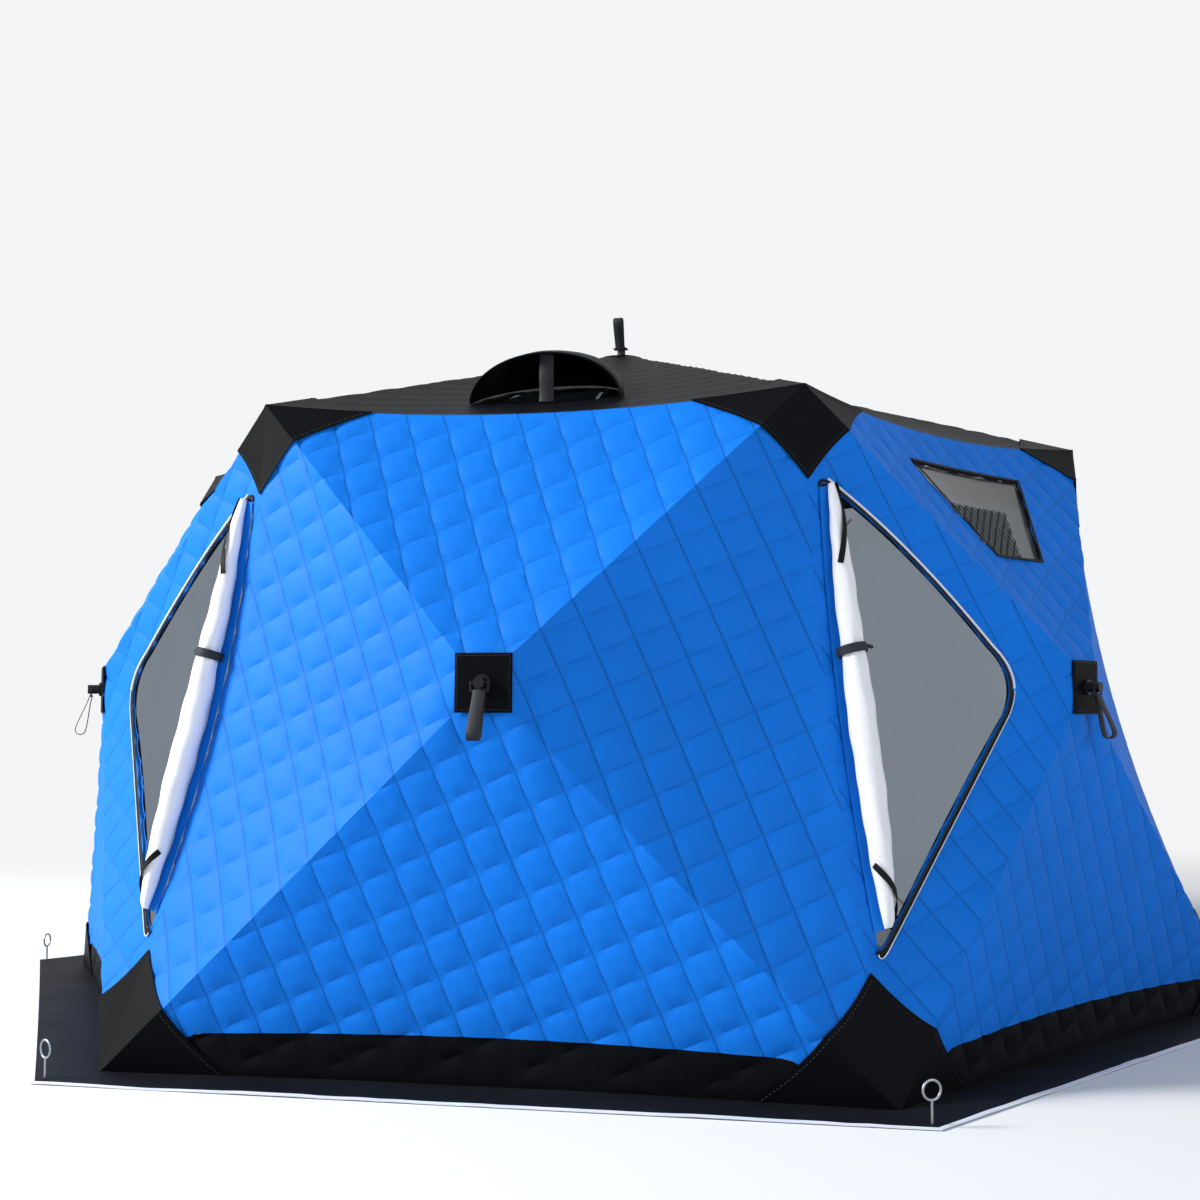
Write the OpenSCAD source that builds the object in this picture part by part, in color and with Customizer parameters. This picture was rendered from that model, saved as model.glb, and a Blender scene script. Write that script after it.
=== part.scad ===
// Hub-framed pop-up ice fishing hut on a six-sided plan: six quilted walls and a
// roof, each pushed out at its middle by a hub with glass-fibre poles, on a black
// lower band and a snow skirt. Origin: middle of the base, on the ground. Front is -Y.

/* [Body] */
// Width of a wall between its bottom corners, on the ground
base_w = 2000; // [1700:10:2400]
// Width of a wall between its top corners
top_w = 1512; // [1300:4:1800]
// Height of the top corners
wall_h = 1775; // [1550:5:2000]
// Height of the roof's flat middle
roof_h = 2145; // [1950:5:2400]
// How far the walls' flat middles stand inside the feet
hub_in = 16; // [0:1:60]
// Height of the wall hubs above the ground
hub_h = 985; // [880:5:1080]
// Thickness of the quilted walls and roof
wall_t = 6; // [4:0.5:10]
// How far the upright corner seams are pulled in at half height
seam_in = 107; // [40:1:130]
// How far the eaves sag in the middle
eave_drop = 42; // [10:1:70]
// How far the eaves are pulled in at the middle
eave_in = 38; // [10:1:60]
// How far the ground edges are pulled in at the middle
base_in = 35; // [10:1:60]

/* [Lower band and skirt] */
// Height of the black lower band at the corners
band_h = 98; // [70:2:140]
// Extra height of the lower band in the middle of a wall
band_rise = 22; // [0:2:60]
// Width of the snow skirt
skirt_w = 168; // [110:2:240]
// Thickness of the snow skirt
skirt_t = 2.5; // [2:0.5:5]
// Diameter of the ice anchors' wire
anchor_d = 6; // [5:0.5:8]
// Height of the ice anchors above the ground
anchor_h = 105; // [75:1:150]
// Outer diameter of the ice anchors' eyes
anchor_eye = 50; // [40:1:66]

/* [Corner patches] */
// Thickness of the black corner patches
patch_t = 2.5; // [1.5:0.5:4]
// Length of a top patch along the eaves
patch_eave = 305; // [220:5:350]
// Length of a top patch down the corner seam
patch_seam = 262; // [160:5:270]
// Length of a top patch along a wall ridge
patch_ridge = 172; // [110:2:210]
// Length of a bottom patch up the corner seam
boot_seam = 305; // [220:2:350]
// Length of a bottom patch along the ground
boot_ground = 348; // [280:4:420]
// Length of a bottom patch along a wall ridge
boot_ridge = 235; // [180:5:290]

/* [Hubs and poles] */
// Side of the flat square in the middle of each wall
hub_flat = 136; // [124:2:160]
// Side of the black hub patch
hub_patch = 148; // [140:2:176]
// Diameter of the hub plate inside the wall
hub_plate_d = 112; // [90:2:120]
// Diameter of the hub knob outside the wall
knob_d = 28; // [24:1:36]
// Length of the hub knob outside the patch
knob_l = 42; // [34:1:56]
// Diameter of the glass-fibre poles
pole_d = 11; // [8:0.5:14]

/* [Pull straps] */
// Width of the webbing
strap_w = 32; // [25:1:42]
// Thickness of the webbing
strap_t = 2.5; // [2:0.5:4]
// Length of a pull loop on a wall
strap_l = 122; // [110:2:200]
// Length of the pull loop on the roof
roof_strap_l = 104; // [100:2:180]

/* [Doors] */
// Height of the door's upper tip above the ground
door_top = 1525; // [1400:5:1575]
// Height of the door's lower tip above the ground
door_bottom = 330; // [290:5:430]
// Distance between the corner seam and the straight side of the doorway
door_seam = 34; // [24:1:56]
// Distance of the doorway's rounded point from the middle of the wall
door_point = 225; // [180:5:310]
// Height of the doorway's rounded point above the wall hub
door_point_up = 10; // [-60:5:70]
// Width of the zip tape around the doorway
zip_w = 15; // [10:1:22]
// Largest radius of the rolled door flap
roll_r = 43; // [32:1:52]

/* [Windows] */
// Width of the window along its upper edge
win_top_w = 612; // [400:4:680]
// Width of the window along its lower edge
win_low_w = 264; // [150:2:340]
// Height of the window, measured upright
win_h = 268; // [180:2:296]
// Height of the window's lower edge above the wall hub
win_up = 370; // [300:5:410]
// Thickness of the clear window sheet
win_t = 2; // [1.5:0.5:4]

/* [Roof vent] */
// Half of the width of the vent hood
vent_r = 222; // [160:2:260]
// Height of the vent hood's mouth above the roof
vent_h = 148; // [90:2:150]
// Depth of the vent hood from front to back
vent_l = 330; // [240:5:380]
// Distance of the mouth in front of the roof's centre
vent_front = 1105; // [960:5:1150]

/* [Hidden] */

sides = 6;
turn = 360 / sides;
half_turn = turn / 2;

blue = [0.10, 0.46, 0.88];
black = [0.06, 0.07, 0.09];
grey = [0.24, 0.26, 0.28];

gap = 0.3;            // seam between two pieces that meet
lay = 0.9;            // gap under a piece that lies on a curved face
patch_lay = 1.5;      // gap under a corner patch, which bends in other places than its wall
seam_n = 12;          // straight steps along each edge of a wall
ray_n = 4;            // steps from the flat middle to the edge
corner_n = 4;         // steps across a corner patch

// Vectors and closed shells made of triangles

function mix(a, b, t) = a + (b - a) * t;
function rounded(p) = [for (c = p) round(c * 1000) / 1000];
function unit(v) = v / norm(v);
function flipped(tris) = [for (t = tris) [t[0], t[2], t[1]]];
function quad(a, b, c, d) = [for (t = [[a, b, c], [a, c, d]])
  if (min(norm(t[0] - t[1]), norm(t[1] - t[2]), norm(t[2] - t[0])) > 0.01) t];

// Triangles mirrored in the upright plane through the front-left corner seam
mirror_c = cos(2 * (90 + half_turn));
mirror_s = -sin(2 * (90 + half_turn));
function mirrored(tris) = [for (t = flipped(tris)) [for (p = t)
  [p[0] * mirror_c + p[1] * mirror_s, p[0] * mirror_s - p[1] * mirror_c, p[2]]]];

// Triangles of a sheet between an outer and an inner grid of points; i runs to
// the right and j upwards seen from outside. edges: which rims are closed, as
// [i = 0, i = ni, j = 0, j = nj]
function sheet(out, inn, ni, nj, edges = [true, true, true, true]) = [
  for (i = [0:ni - 1]) for (j = [0:nj - 1])
    each quad(out(i, j), out(i + 1, j), out(i + 1, j + 1), out(i, j + 1)),
  for (i = [0:ni - 1]) for (j = [0:nj - 1])
    each quad(inn(i, j), inn(i, j + 1), inn(i + 1, j + 1), inn(i + 1, j)),
  if (edges[0]) for (j = [0:nj - 1]) each quad(out(0, j), out(0, j + 1), inn(0, j + 1), inn(0, j)),
  if (edges[1]) for (j = [0:nj - 1]) each quad(out(ni, j + 1), out(ni, j), inn(ni, j), inn(ni, j + 1)),
  if (edges[2]) for (i = [0:ni - 1]) each quad(out(i + 1, 0), out(i, 0), inn(i, 0), inn(i + 1, 0)),
  if (edges[3]) for (i = [0:ni - 1]) each quad(out(i, nj), out(i + 1, nj), inn(i + 1, nj), inn(i, nj))
];

module solid(tris)
  polyhedron(points = [for (t = tris) for (p = t) rounded(p)],
             faces = [for (i = [0:len(tris) - 1]) [3 * i, 3 * i + 2, 3 * i + 1]]);

// Form of a wall in its own place at the front, and of the roof. A panel is a
// list: corners, bows of its sides, corners of its flat middle, inward direction,
// inward directions of its neighbours, and their share at a corner.
// Side k of the wall: 0 eaves, 1 right seam, 2 ground, 3 left seam; side k of the
// roof starts with the front one; v runs along a side, clockwise seen from
// outside, and t from the flat middle (0) to the side (1)

base_half = base_w / 2;
top_half = top_w / 2;
flat_half = hub_flat / 2;
base_out = base_half / tan(half_turn);   // distance of the wall's foot from the centre
top_out = top_half / tan(half_turn);     // distance of its eaves
hub_out = base_out - hub_in;             // distance of its flat middle

wall = [
  [[-top_half, -top_out, wall_h], [top_half, -top_out, wall_h],
   [base_half, -base_out, 0], [-base_half, -base_out, 0]],
  [[0, eave_in, -eave_drop], [-seam_in * sin(half_turn), seam_in * cos(half_turn), 0],
   [0, base_in, 0], [seam_in * sin(half_turn), seam_in * cos(half_turn), 0]],
  [[-flat_half, -hub_out, hub_h + flat_half], [flat_half, -hub_out, hub_h + flat_half],
   [flat_half, -hub_out, hub_h - flat_half], [-flat_half, -hub_out, hub_h - flat_half]],
  [0, 1, 0],
  [[0, 0, -1], [-tan(half_turn), 0, 0], [0, 0, 0], [tan(half_turn), 0, 0]],
  1
];

function around(radius, angle, z) = [radius * cos(angle), radius * sin(angle), z];
function corner_angle(k) = half_turn - 90 - k * turn;
roof_panel = [
  [for (k = [0:sides - 1]) around(top_out / cos(half_turn), corner_angle(k), wall_h)],
  [for (k = [0:sides - 1]) around(-eave_in, corner_angle(k) - half_turn, -eave_drop)],
  [for (k = [0:sides - 1]) around(flat_half / cos(half_turn), corner_angle(k), roof_h)],
  [0, 0, -1],
  [for (k = [0:sides - 1]) around(-1, corner_angle(k) - half_turn, 0)],
  1 / (1 + cos(turn))
];

function after(panel, k) = (k + 1) % len(panel[0]);
function before(panel, k) = (k + len(panel[0]) - 1) % len(panel[0]);
function side_point(panel, k, v) =
  mix(panel[0][k], panel[0][after(panel, k)], v) + panel[1][k] * 4 * v * (1 - v);
function panel_point(panel, k, v, t) =
  mix(mix(panel[2][k], panel[2][after(panel, k)], v), side_point(panel, k, v), t);

// Inward direction at a corner, and at any point: square to the panel, and mitred
// along its sides
function corner_in(panel, k) = panel[3] + (panel[4][k] + panel[4][before(panel, k)]) * panel[5];
function inward(panel, k, v, at_side) =
  !at_side ? panel[3] :
  v < 0.001 ? corner_in(panel, k) :
  v > 0.999 ? corner_in(panel, after(panel, k)) :
  panel[3] + panel[4][k];

// Where the blue wall gives way to the lower band, as t on the ground side
function band_height(v) =
  min(1, seam_n * min(v, 1 - v)) * (band_h + band_rise * 4 * v * (1 - v));
function band_t(v) = 1 - band_height(v) / (hub_h - flat_half);

module shell(panel, middle, end) {
  count = len(panel[0]);
  trim_t = gap / 1000;
  place = function(i, j) let (
      k = floor(i / seam_n) % count,
      v = (i % seam_n) / seam_n,
      t = max(0, j - 1) / ray_n * (end(k, v) - trim_t))
    j == 0 ? middle : panel_point(panel, k, v, t);
  back = function(i, j) let (
      k = floor(i / seam_n) % count,
      v = (i % seam_n) / seam_n)
    place(i, j) + wall_t * inward(panel, k, v, j == ray_n + 1 && end(k, v) == 1);
  solid(sheet(place, back, count * seam_n, ray_n + 1, [false, false, false, true]));
}

wall_mid = [0, -hub_out, hub_h];
roof_mid = [0, 0, roof_h];

module plain_wall()
  difference() {
    shell(wall, wall_mid, function(k, v) k == 2 ? band_t(v) : 1);
    outwards() stem_hole();
  }

module stem_hole() cylinder(d = stem_d + 2 * gap, h = 4 * wall_t, center = true, $fn = 24);

// A layer over or under one side of the wall's front face
module layer(k, from, to) {
  place = function(i, j, lift) panel_point(wall, k, i / seam_n, j / ray_n)
    - lift * inward(wall, k, i / seam_n, j == ray_n);
  solid(sheet(function(i, j) place(i, j, to), function(i, j) place(i, j, from), seam_n, ray_n));
}

module face_cut(outline)
  translate([0, -hub_out / 2, 0]) rotate([90, 0, 0])
    linear_extrude(height = hub_out) polygon(outline);

// Places around the plan for a piece made at the front: whole turns, and the left
// side as the mirror of the right one

module turned(n) rotate([0, 0, n * turn]) children();
module each_turn() for (n = [0:sides - 1]) turned(n) children();
module to_right() turned(1) children();
module to_left() mirror([1, 0, 0]) turned(1) children();

// Doors: a rounded triangle beside the corner seam, in the plane X-Z

function bend(a, b, c, n) = [for (i = [0:n]) let (s = i / n)
  a * (1 - s) * (1 - s) + b * 2 * s * (1 - s) + c * s * s];
function seam_x(z) = let (v = z / wall_h)
  mix(-base_half, -top_half, v) + seam_in * sin(half_turn) * 4 * v * (1 - v);

door_bulge = 30;      // how far the doorway's upper side bulges
point_round = 130;    // length of the rounding at the doorway's point
tip_grow = 2.2;       // how much more a larger outline grows at its tips
point_grow = 1.3;     // and at its point

function door_outline(grow) = let (
    top = [seam_x(door_top) + door_seam - grow, door_top + tip_grow * grow],
    low = [seam_x(door_bottom) + door_seam - grow, door_bottom - tip_grow * grow],
    peak = [-door_point + point_grow * grow, hub_h + door_point_up],
    up = unit(top - peak),
    down = unit(low - peak),
    up_start = peak + up * point_round,
    down_start = peak + down * point_round,
    belly = (top + up_start) / 2 + [door_bulge, door_bulge],
    middle_z = (door_top + door_bottom) / 2,
    seam_pull = [seam_x(middle_z) + door_seam - grow, middle_z] * 2 - (top + low) / 2
  ) concat(
    bend(mix(top, seam_pull, 0.05), top, mix(top, belly, 0.12), 3),
    bend(mix(top, belly, 0.2), belly, up_start, 6),
    bend(up_start, mix(peak, up_start, 0.1), down_start, 7),
    bend(mix(low, down_start, 0.08), low, mix(low, seam_pull, 0.05), 3),
    [for (s = [1:5]) bend(low, seam_pull, top, 6)[s]]
  );

zip_t = 2.5;          // thickness of the zip tape
module door_zip()
  intersection() {
    layer(3, lay, lay + zip_t);
    difference() {
      face_cut(door_outline(zip_w));
      face_cut(door_outline(1));
    }
  }

// Rolled door flap along the corner seam, thickest a little above its middle
roll_low = 0.215;     // where the roll ends, as parts of the corner seam
roll_high = 0.845;
roll_n = 12;
roll_sides = 12;
roll_press = 2.8;     // how far the roll sinks into the padding at the seam
roll_lift = wall_t + seam_in / 25 - roll_press;   // height of the roll above the seam
roll_end = 0.30;      // radius of the roll's ends, as part of its largest radius

function roll_radius(s) = roll_r * (roll_end + (1 - roll_end) * pow(sin(180 * pow(s, 0.8)), 0.7));
seam_normal = let (
    a = panel_point(wall, 3, 0.25, 1),
    b = panel_point(wall, 3, 0.75, 1),
    c = panel_point(wall, 3, 0.5, 0.7))
  unit(cross(c - a, b - a));
seam_across = unit(panel_point(wall, 3, 0.5, 0) - panel_point(wall, 3, 0.5, 1));
roll_across = door_seam + 0.55 * roll_r;
function roll_centre(s) =
  panel_point(wall, 3, mix(roll_low, roll_high, s), 1) + seam_across * roll_across
    + seam_normal * (roll_radius(s) + roll_lift);

module door_flap() {
  ring = function(i, j) let (s = j / roll_n)
    roll_centre(s) + roll_radius(s)
      * (seam_across * cos(360 * i / roll_sides) + seam_normal * sin(360 * i / roll_sides));
  solid([
    for (i = [0:roll_sides - 1]) for (j = [0:roll_n - 1])
      each quad(ring(i, j), ring(i, j + 1), ring(i + 1, j + 1), ring(i + 1, j)),
    for (i = [0:roll_sides - 1]) [ring(i, 0), ring(i + 1, 0), roll_centre(0)],
    for (i = [0:roll_sides - 1]) [ring(i + 1, roll_n), ring(i, roll_n), roll_centre(1)]
  ]);
}

tie_s = 0.60;         // where the tie holds the roll
tie_w = 24;
tie_t = 3;
tie_slack = seam_in / 97;   // play between the tie and the curved, many-sided roll
toggle_d = 12;
toggle_l = 38;

// Turns a piece from the Z axis onto the roll's axis at the tie
module at_tie() {
  up = unit(roll_centre(tie_s + 0.05) - roll_centre(tie_s - 0.05));
  side = unit(cross(up, [0, 1, 0]));
  depth = cross(up, side);
  c = roll_centre(tie_s);
  multmatrix([[side[0], depth[0], up[0], c[0]],
              [side[1], depth[1], up[1], c[1]],
              [side[2], depth[2], up[2], c[2]],
              [0, 0, 0, 1]])
    children();
}

module door_tie() {
  r = max(roll_radius(tie_s), roll_radius(tie_s + 0.02), roll_radius(tie_s - 0.02)) + gap + tie_slack;
  at_tie() {
    difference() {
      cylinder(r = r + tie_t, h = tie_w, center = true, $fn = 40);
      cylinder(r = r, h = 2 * tie_w, center = true, $fn = 40);
    }
    translate([0, r + tie_t + toggle_d / 2 - 0.5, 0]) rotate([0, 90, 0])
      cylinder(d = toggle_d, h = toggle_l, center = true, $fn = 20);
  }
}

// Window in the upper part of the side walls
win_lap = 18;         // how far the clear sheet reaches behind the wall
win_skew = 1.4;       // how much more a larger outline grows sideways
function window_outline(grow) = let (
    low = hub_h + win_up - grow,
    high = hub_h + win_up + win_h + grow,
    wide = win_skew * grow)
  [[-win_top_w / 2 - wide, high], [win_top_w / 2 + wide, high],
   [win_low_w / 2 + wide, low], [-win_low_w / 2 - wide, low]];

module window_sheet()
  intersection() {
    layer(0, -wall_t - lay - win_t, -wall_t - lay);
    face_cut(window_outline(win_lap));
  }

module door_wall()
  difference() {
    plain_wall();
    face_cut(door_outline(0));
    face_cut(window_outline(0));
  }

// Corner patches: six three-sided pieces around the top corner, four around the
// foot. Each piece lies on side k of a panel, from its corner at v = at_v; i runs
// from the tip on the side to the ridge, j from the side inwards
function corner_piece(panel, k, at_v, along, ridge, edges) = let (
    step = function(i) at_v == 0 ? along * (1 - i / corner_n) : 1 - along * (1 - i / corner_n),
    at = function(i, j, lift) let (jj = min(i, j), v = step(i))
      panel_point(panel, k, v, 1 - ridge * jj / corner_n) - lift * inward(panel, k, v, jj == 0)
  ) sheet(function(i, j) at(i, j, patch_lay + patch_t), function(i, j) at(i, j, patch_lay),
          corner_n, corner_n, edges);

eave_len = norm(wall[0][1] - wall[0][0]);
seam_len = norm(wall[0][2] - wall[0][1]);
wall_ridge_top = norm(wall[0][0] - wall[2][0]);
wall_ridge_low = norm(wall[0][3] - wall[2][3]);
roof_ridge = norm(roof_panel[0][1] - roof_panel[2][1]);

// Half of the front-left top patch: front wall beside the seam, front wall under
// the eaves, and roof up to its ridge
function top_half_patch() = concat(
  flipped(corner_piece(wall, 3, 1, patch_seam / seam_len, patch_ridge / wall_ridge_top,
                       [false, false, false, true])),
  corner_piece(wall, 0, 0, patch_eave / eave_len, patch_ridge / wall_ridge_top,
               [false, false, false, true]),
  flipped(corner_piece(roof_panel, 0, 1, patch_eave / eave_len, patch_ridge / roof_ridge,
                       [false, false, false, true]))
);

module top_corner() {
  half = top_half_patch();
  solid(concat(half, mirrored(half)));
}

// Half of the front-left foot patch, down to the ground
function foot_half_patch() = concat(
  corner_piece(wall, 3, 0, boot_seam / seam_len, boot_ridge / wall_ridge_low,
               [false, false, false, true]),
  flipped(corner_piece(wall, 2, 1, boot_ground / base_w, boot_ridge / wall_ridge_low,
                       [false, false, true, true]))
);

module foot_corner() {
  half = foot_half_patch();
  solid(concat(half, mirrored(half)));
}

// Lower band between the blue wall and the ground
band_end = 0.02;      // where the band tapers out, as part of the side

module band_strip() {
  step = function(i) i == 0 ? band_end : i == seam_n ? 1 - band_end : i / seam_n;
  place = function(i, j) let (v = step(seam_n - i)) panel_point(wall, 2, v, mix(1, band_t(v), j));
  back = function(i, j) place(i, j) + wall[3] * wall_t;
  solid(sheet(place, back, seam_n, 1));
}

// Snow skirt: a six-sided ring on the ground around the walls' curved feet
skirt_clear = patch_lay + patch_t + 1;   // gap between the band and the skirt
skirt_far = (base_out + skirt_w) / cos(half_turn);
anchor_inset = 42;    // anchors stand this far inside the skirt's corners

function foot_line(n) = [for (i = [0:seam_n - 1]) let (
    v = i / seam_n,
    p = side_point(wall, 2, v),
    x = p[0] * (base_out + skirt_clear) / base_out,
    y = p[1] - skirt_clear,
    c = cos(n * turn),
    s = sin(n * turn))
  [x * c - y * s, x * s + y * c]];

module skirt()
  linear_extrude(height = skirt_t)
    difference() {
      circle(r = skirt_far, $fn = sides);
      polygon([for (n = [sides:-1:1]) each foot_line(n)]);
      each_turn() translate([skirt_far - anchor_inset, 0]) circle(d = anchor_d + 2 * gap, $fn = 20);
    }

module ice_anchor() {
  ring_r = (anchor_eye - anchor_d) / 2;
  cylinder(d = anchor_d, h = anchor_h - 2 * ring_r, $fn = 20);
  translate([0, 0, anchor_h - anchor_eye / 2]) rotate([90, 0, 90])
    rotate_extrude($fn = 40) translate([ring_r, 0]) circle(d = anchor_d, $fn = 16);
}

// Hubs, poles, hub patches and pull straps, in the place of the front wall

stem_d = 22;
plate_t = 10;
boss_d = 44;          // block behind the plate that holds the sockets
collar_w = 7;         // width of the hub's collar around the knob
collar_t = 8;
socket_d = pole_d + 7;
socket_l = 60;
socket_from = 10;
bail_wire = 5;
bail_w = strap_w + 12;
bail_drop = 8;        // how far the bail's lower bar hangs below the knob
bail_back = 10;       // the bail's distance behind the knob's end
pole_back = wall_t + gap + socket_d / 2 + 1;   // poles' distance behind the ridges
pole_stop = 62;       // poles end this far from a corner
pole_start = socket_l - 30;                    // and reach this near to the hub's middle

module rod(a, b, d, from, to) {
  dir = unit(b - a);
  tilt = acos(dir[2]);
  heading = atan2(dir[1], dir[0]);
  translate(a + dir * from) rotate([0, tilt, heading]) cylinder(d = d, h = to - from, $fn = 20);
}

// A round bar on pole k's line; to = 0 runs on to where the pole ends
module pole_line(panel, middle, k, d, from, to = 0) {
  a = middle + panel[3] * pole_back;
  b = panel[0][k] + corner_in(panel, k) * pole_back;
  rod(a, b, d, from, to > 0 ? to : norm(b - a) - pole_stop);
}

module pole_set(panel, middle)
  for (k = [0:len(panel[0]) - 1]) pole_line(panel, middle, k, pole_d, pole_start);

// Turns a piece made around +Z, outwards, to the front wall's hub
module outwards() translate(wall_mid) rotate([90, 0, 0]) children();
module on_roof() translate(roof_mid) children();

knob_from = patch_t + 2 * gap;
boss_l = pole_back + socket_d / 2 + 2 - wall_t - gap - plate_t;
module hub_body() {
  // plate behind the panel, stem through it, knob outside
  translate([0, 0, -wall_t - gap - plate_t]) {
    cylinder(d = hub_plate_d, h = plate_t, $fn = 40);
    mirror([0, 0, 1]) cylinder(d = boss_d, h = boss_l, $fn = 32);
    cylinder(d = stem_d, h = wall_t + gap + plate_t + knob_from + knob_l, $fn = 32);
  }
  translate([0, 0, knob_from]) {
    cylinder(d = knob_d + 2 * collar_w, h = collar_t, $fn = 32);
    cylinder(d = knob_d, h = knob_l, $fn = 32);
  }
}

bail_z = knob_from + knob_l - bail_back;
bail_low = knob_d / 2 + bail_drop;
module bail() {
  half = bail_w / 2;
  translate([0, 0, bail_z]) {
    for (y = [0, -bail_low]) translate([0, y, 0]) rotate([0, 90, 0])
      cylinder(d = bail_wire, h = bail_w, center = true, $fn = 16);
    for (x = [-half, half]) translate([x, 0, 0]) {
      rotate([90, 0, 0]) cylinder(d = bail_wire, h = bail_low, $fn = 16);
      for (y = [0, -bail_low]) translate([0, y, 0]) sphere(d = bail_wire, $fn = 16);
    }
  }
}

// The hub given as children, with a socket for each pole
module hub_with_sockets(panel, middle)
  difference() {
    union() {
      children();
      for (k = [0:len(panel[0]) - 1]) pole_line(panel, middle, k, socket_d, socket_from, socket_l);
    }
    for (k = [0:len(panel[0]) - 1])
      pole_line(panel, middle, k, pole_d + 2 * gap, pole_start - gap, socket_l + 1);
  }

module wall_hub() hub_with_sockets(wall, wall_mid) outwards() { hub_body(); bail(); }

module wall_patch()
  difference() {
    translate([0, 0, gap + patch_t / 2]) cube([hub_patch, hub_patch, patch_t], center = true);
    cylinder(d = stem_d + 2 * gap, h = 50, center = true, $fn = 24);
  }

module roof_patch()
  difference() {
    translate([0, 0, gap]) cylinder(r = hub_patch / 2 / cos(half_turn), h = patch_t, $fn = sides);
    cylinder(d = stem_d + 2 * gap, h = 50, center = true, $fn = 24);
  }

// Pull loop around the bail's lower bar; it hangs in the plane Y-Z of its place
loop_gap = 28;        // widest opening of a pull loop
function loop_side(grow, long) = let (
    r = bail_wire / 2 + gap + grow,
    wide = loop_gap / 2 + grow,
    low = long - loop_gap / 2)
  concat(
    [for (a = [90:-18:0]) [r * cos(a), r * sin(a)]],
    [for (s = [1:5]) let (q = s / 6) [mix(r, wide, q * q * (3 - 2 * q)), -low * q]],
    [for (a = [0:-18:-72]) [wide * cos(a), -low + wide * sin(a)]]
  );
function loop_outline(grow, long) = let (half = loop_side(grow, long), n = len(half))
  concat(half, [[0, -long - grow]], [for (i = [n - 1:-1:1]) [-half[i][0], half[i][1]]]);

module pull_loop(long)
  rotate([0, 90, 0]) rotate([0, 0, 90])
    linear_extrude(height = strap_w, center = true)
      difference() {
        polygon(loop_outline(strap_t, long));
        polygon(loop_outline(0, long));
      }

strap_lean = 16;      // angle at which a loop stands off the wall
roof_strap_lean = 20; // angle at which the roof's loop leans forward

module wall_strap()
  translate(wall_mid - [0, bail_z, bail_low]) rotate([-strap_lean, 0, 0]) pull_loop(strap_l);
module roof_strap()
  translate(roof_mid + [0, -bail_low, bail_z]) rotate([-180 + roof_strap_lean, 0, 0]) pull_loop(roof_strap_l);

// Roof vent: a quarter of a domed shell over a hole, open to the front

// Height of the roof's front side above a place x, y; v is refined in n steps
function roof_front_z(x, y, v = 0.5, n = 3) = let (
    t = (-y - flat_half) / (top_out - eave_in * 4 * v * (1 - v) - flat_half),
    better_v = 0.5 - x / (2 * mix(flat_half * tan(half_turn), top_half, t)))
  n == 0 ? panel_point(roof_panel, 0, better_v, t)[2] : roof_front_z(x, y, better_v, n - 1);
vent_t = 4;
vent_n = 16;
vent_rows = 6;

function vent_point(a, w, less) = let (
    x = -(vent_r - less) * cos(a),
    y = -vent_front + (vent_l - less) * sin(a) * sin(w))
  [x, y, roof_front_z(x, y) + lay + (vent_h - less) * sin(a) * cos(w)];

module vent_shell()
  solid(sheet(
    function(i, j) vent_point(180 * i / vent_n, 90 * j / vent_rows, 0),
    function(i, j) vent_point(180 * i / vent_n, 90 * j / vent_rows, vent_t),
    vent_n, vent_rows));

vent_hole_w = 300;
vent_hole_l = 170;
vent_hole_in = 60;    // the hole's distance behind the mouth
module vent_hole()
  translate([-vent_hole_w / 2, -vent_front + vent_hole_in, wall_h - 200])
    cube([vent_hole_w, vent_hole_l, 500]);

prop_w = 42;
prop_t = 4;
prop_in = 22;         // the prop's distance behind the mouth
module prop() {
  y = -vent_front + prop_in;
  floor_z = roof_front_z(0, y + prop_t) + lay;
  top_a = acos(prop_w / 2 / (vent_r - vent_t));
  top_z = vent_point(top_a, asin((y + vent_front) / (vent_l - vent_t) / sin(top_a)), vent_t)[2];
  translate([-prop_w / 2, y, floor_z]) cube([prop_w, prop_t, top_z - floor_z - 2 * lay]);
}

// Sub-parts

module front_wall() color(blue) plain_wall();
module back_right_wall() color(blue) turned(2) plain_wall();
module back_wall() color(blue) turned(3) plain_wall();
module back_left_wall() color(blue) turned(4) plain_wall();
module front_right_wall() color(blue) to_right() door_wall();
module front_left_wall() color(blue) to_left() door_wall();
module roof() color(black)
  difference() {
    shell(roof_panel, roof_mid, function(k, v) 1);
    on_roof() stem_hole();
    vent_hole();
  }

module front_left_top_corner() color(black) top_corner();
module front_right_top_corner() color(black) turned(1) top_corner();
module right_top_corner() color(black) turned(2) top_corner();
module back_right_top_corner() color(black) turned(3) top_corner();
module back_left_top_corner() color(black) turned(4) top_corner();
module left_top_corner() color(black) turned(5) top_corner();
module front_left_foot() color(black) foot_corner();
module front_right_foot() color(black) turned(1) foot_corner();
module right_foot() color(black) turned(2) foot_corner();
module back_right_foot() color(black) turned(3) foot_corner();
module back_left_foot() color(black) turned(4) foot_corner();
module left_foot() color(black) turned(5) foot_corner();

module lower_band() color(black) each_turn() band_strip();
module snow_skirt() color(black) skirt();
module ice_anchors() color("silver")
  each_turn() translate([skirt_far - anchor_inset, 0, 0]) ice_anchor();

module front_hub() color(grey) wall_hub();
module front_right_hub() color(grey) turned(1) wall_hub();
module back_right_hub() color(grey) turned(2) wall_hub();
module back_hub() color(grey) turned(3) wall_hub();
module back_left_hub() color(grey) turned(4) wall_hub();
module front_left_hub() color(grey) turned(5) wall_hub();
module roof_hub() color(grey) hub_with_sockets(roof_panel, roof_mid) on_roof() { hub_body(); bail(); }

module wall_poles() color("white") each_turn() pole_set(wall, wall_mid);
module roof_poles() color("white") pole_set(roof_panel, roof_mid);
module hub_patches() color(black) {
  each_turn() outwards() wall_patch();
  on_roof() roof_patch();
}
module pull_straps() color(grey) {
  each_turn() wall_strap();
  roof_strap();
}

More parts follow.
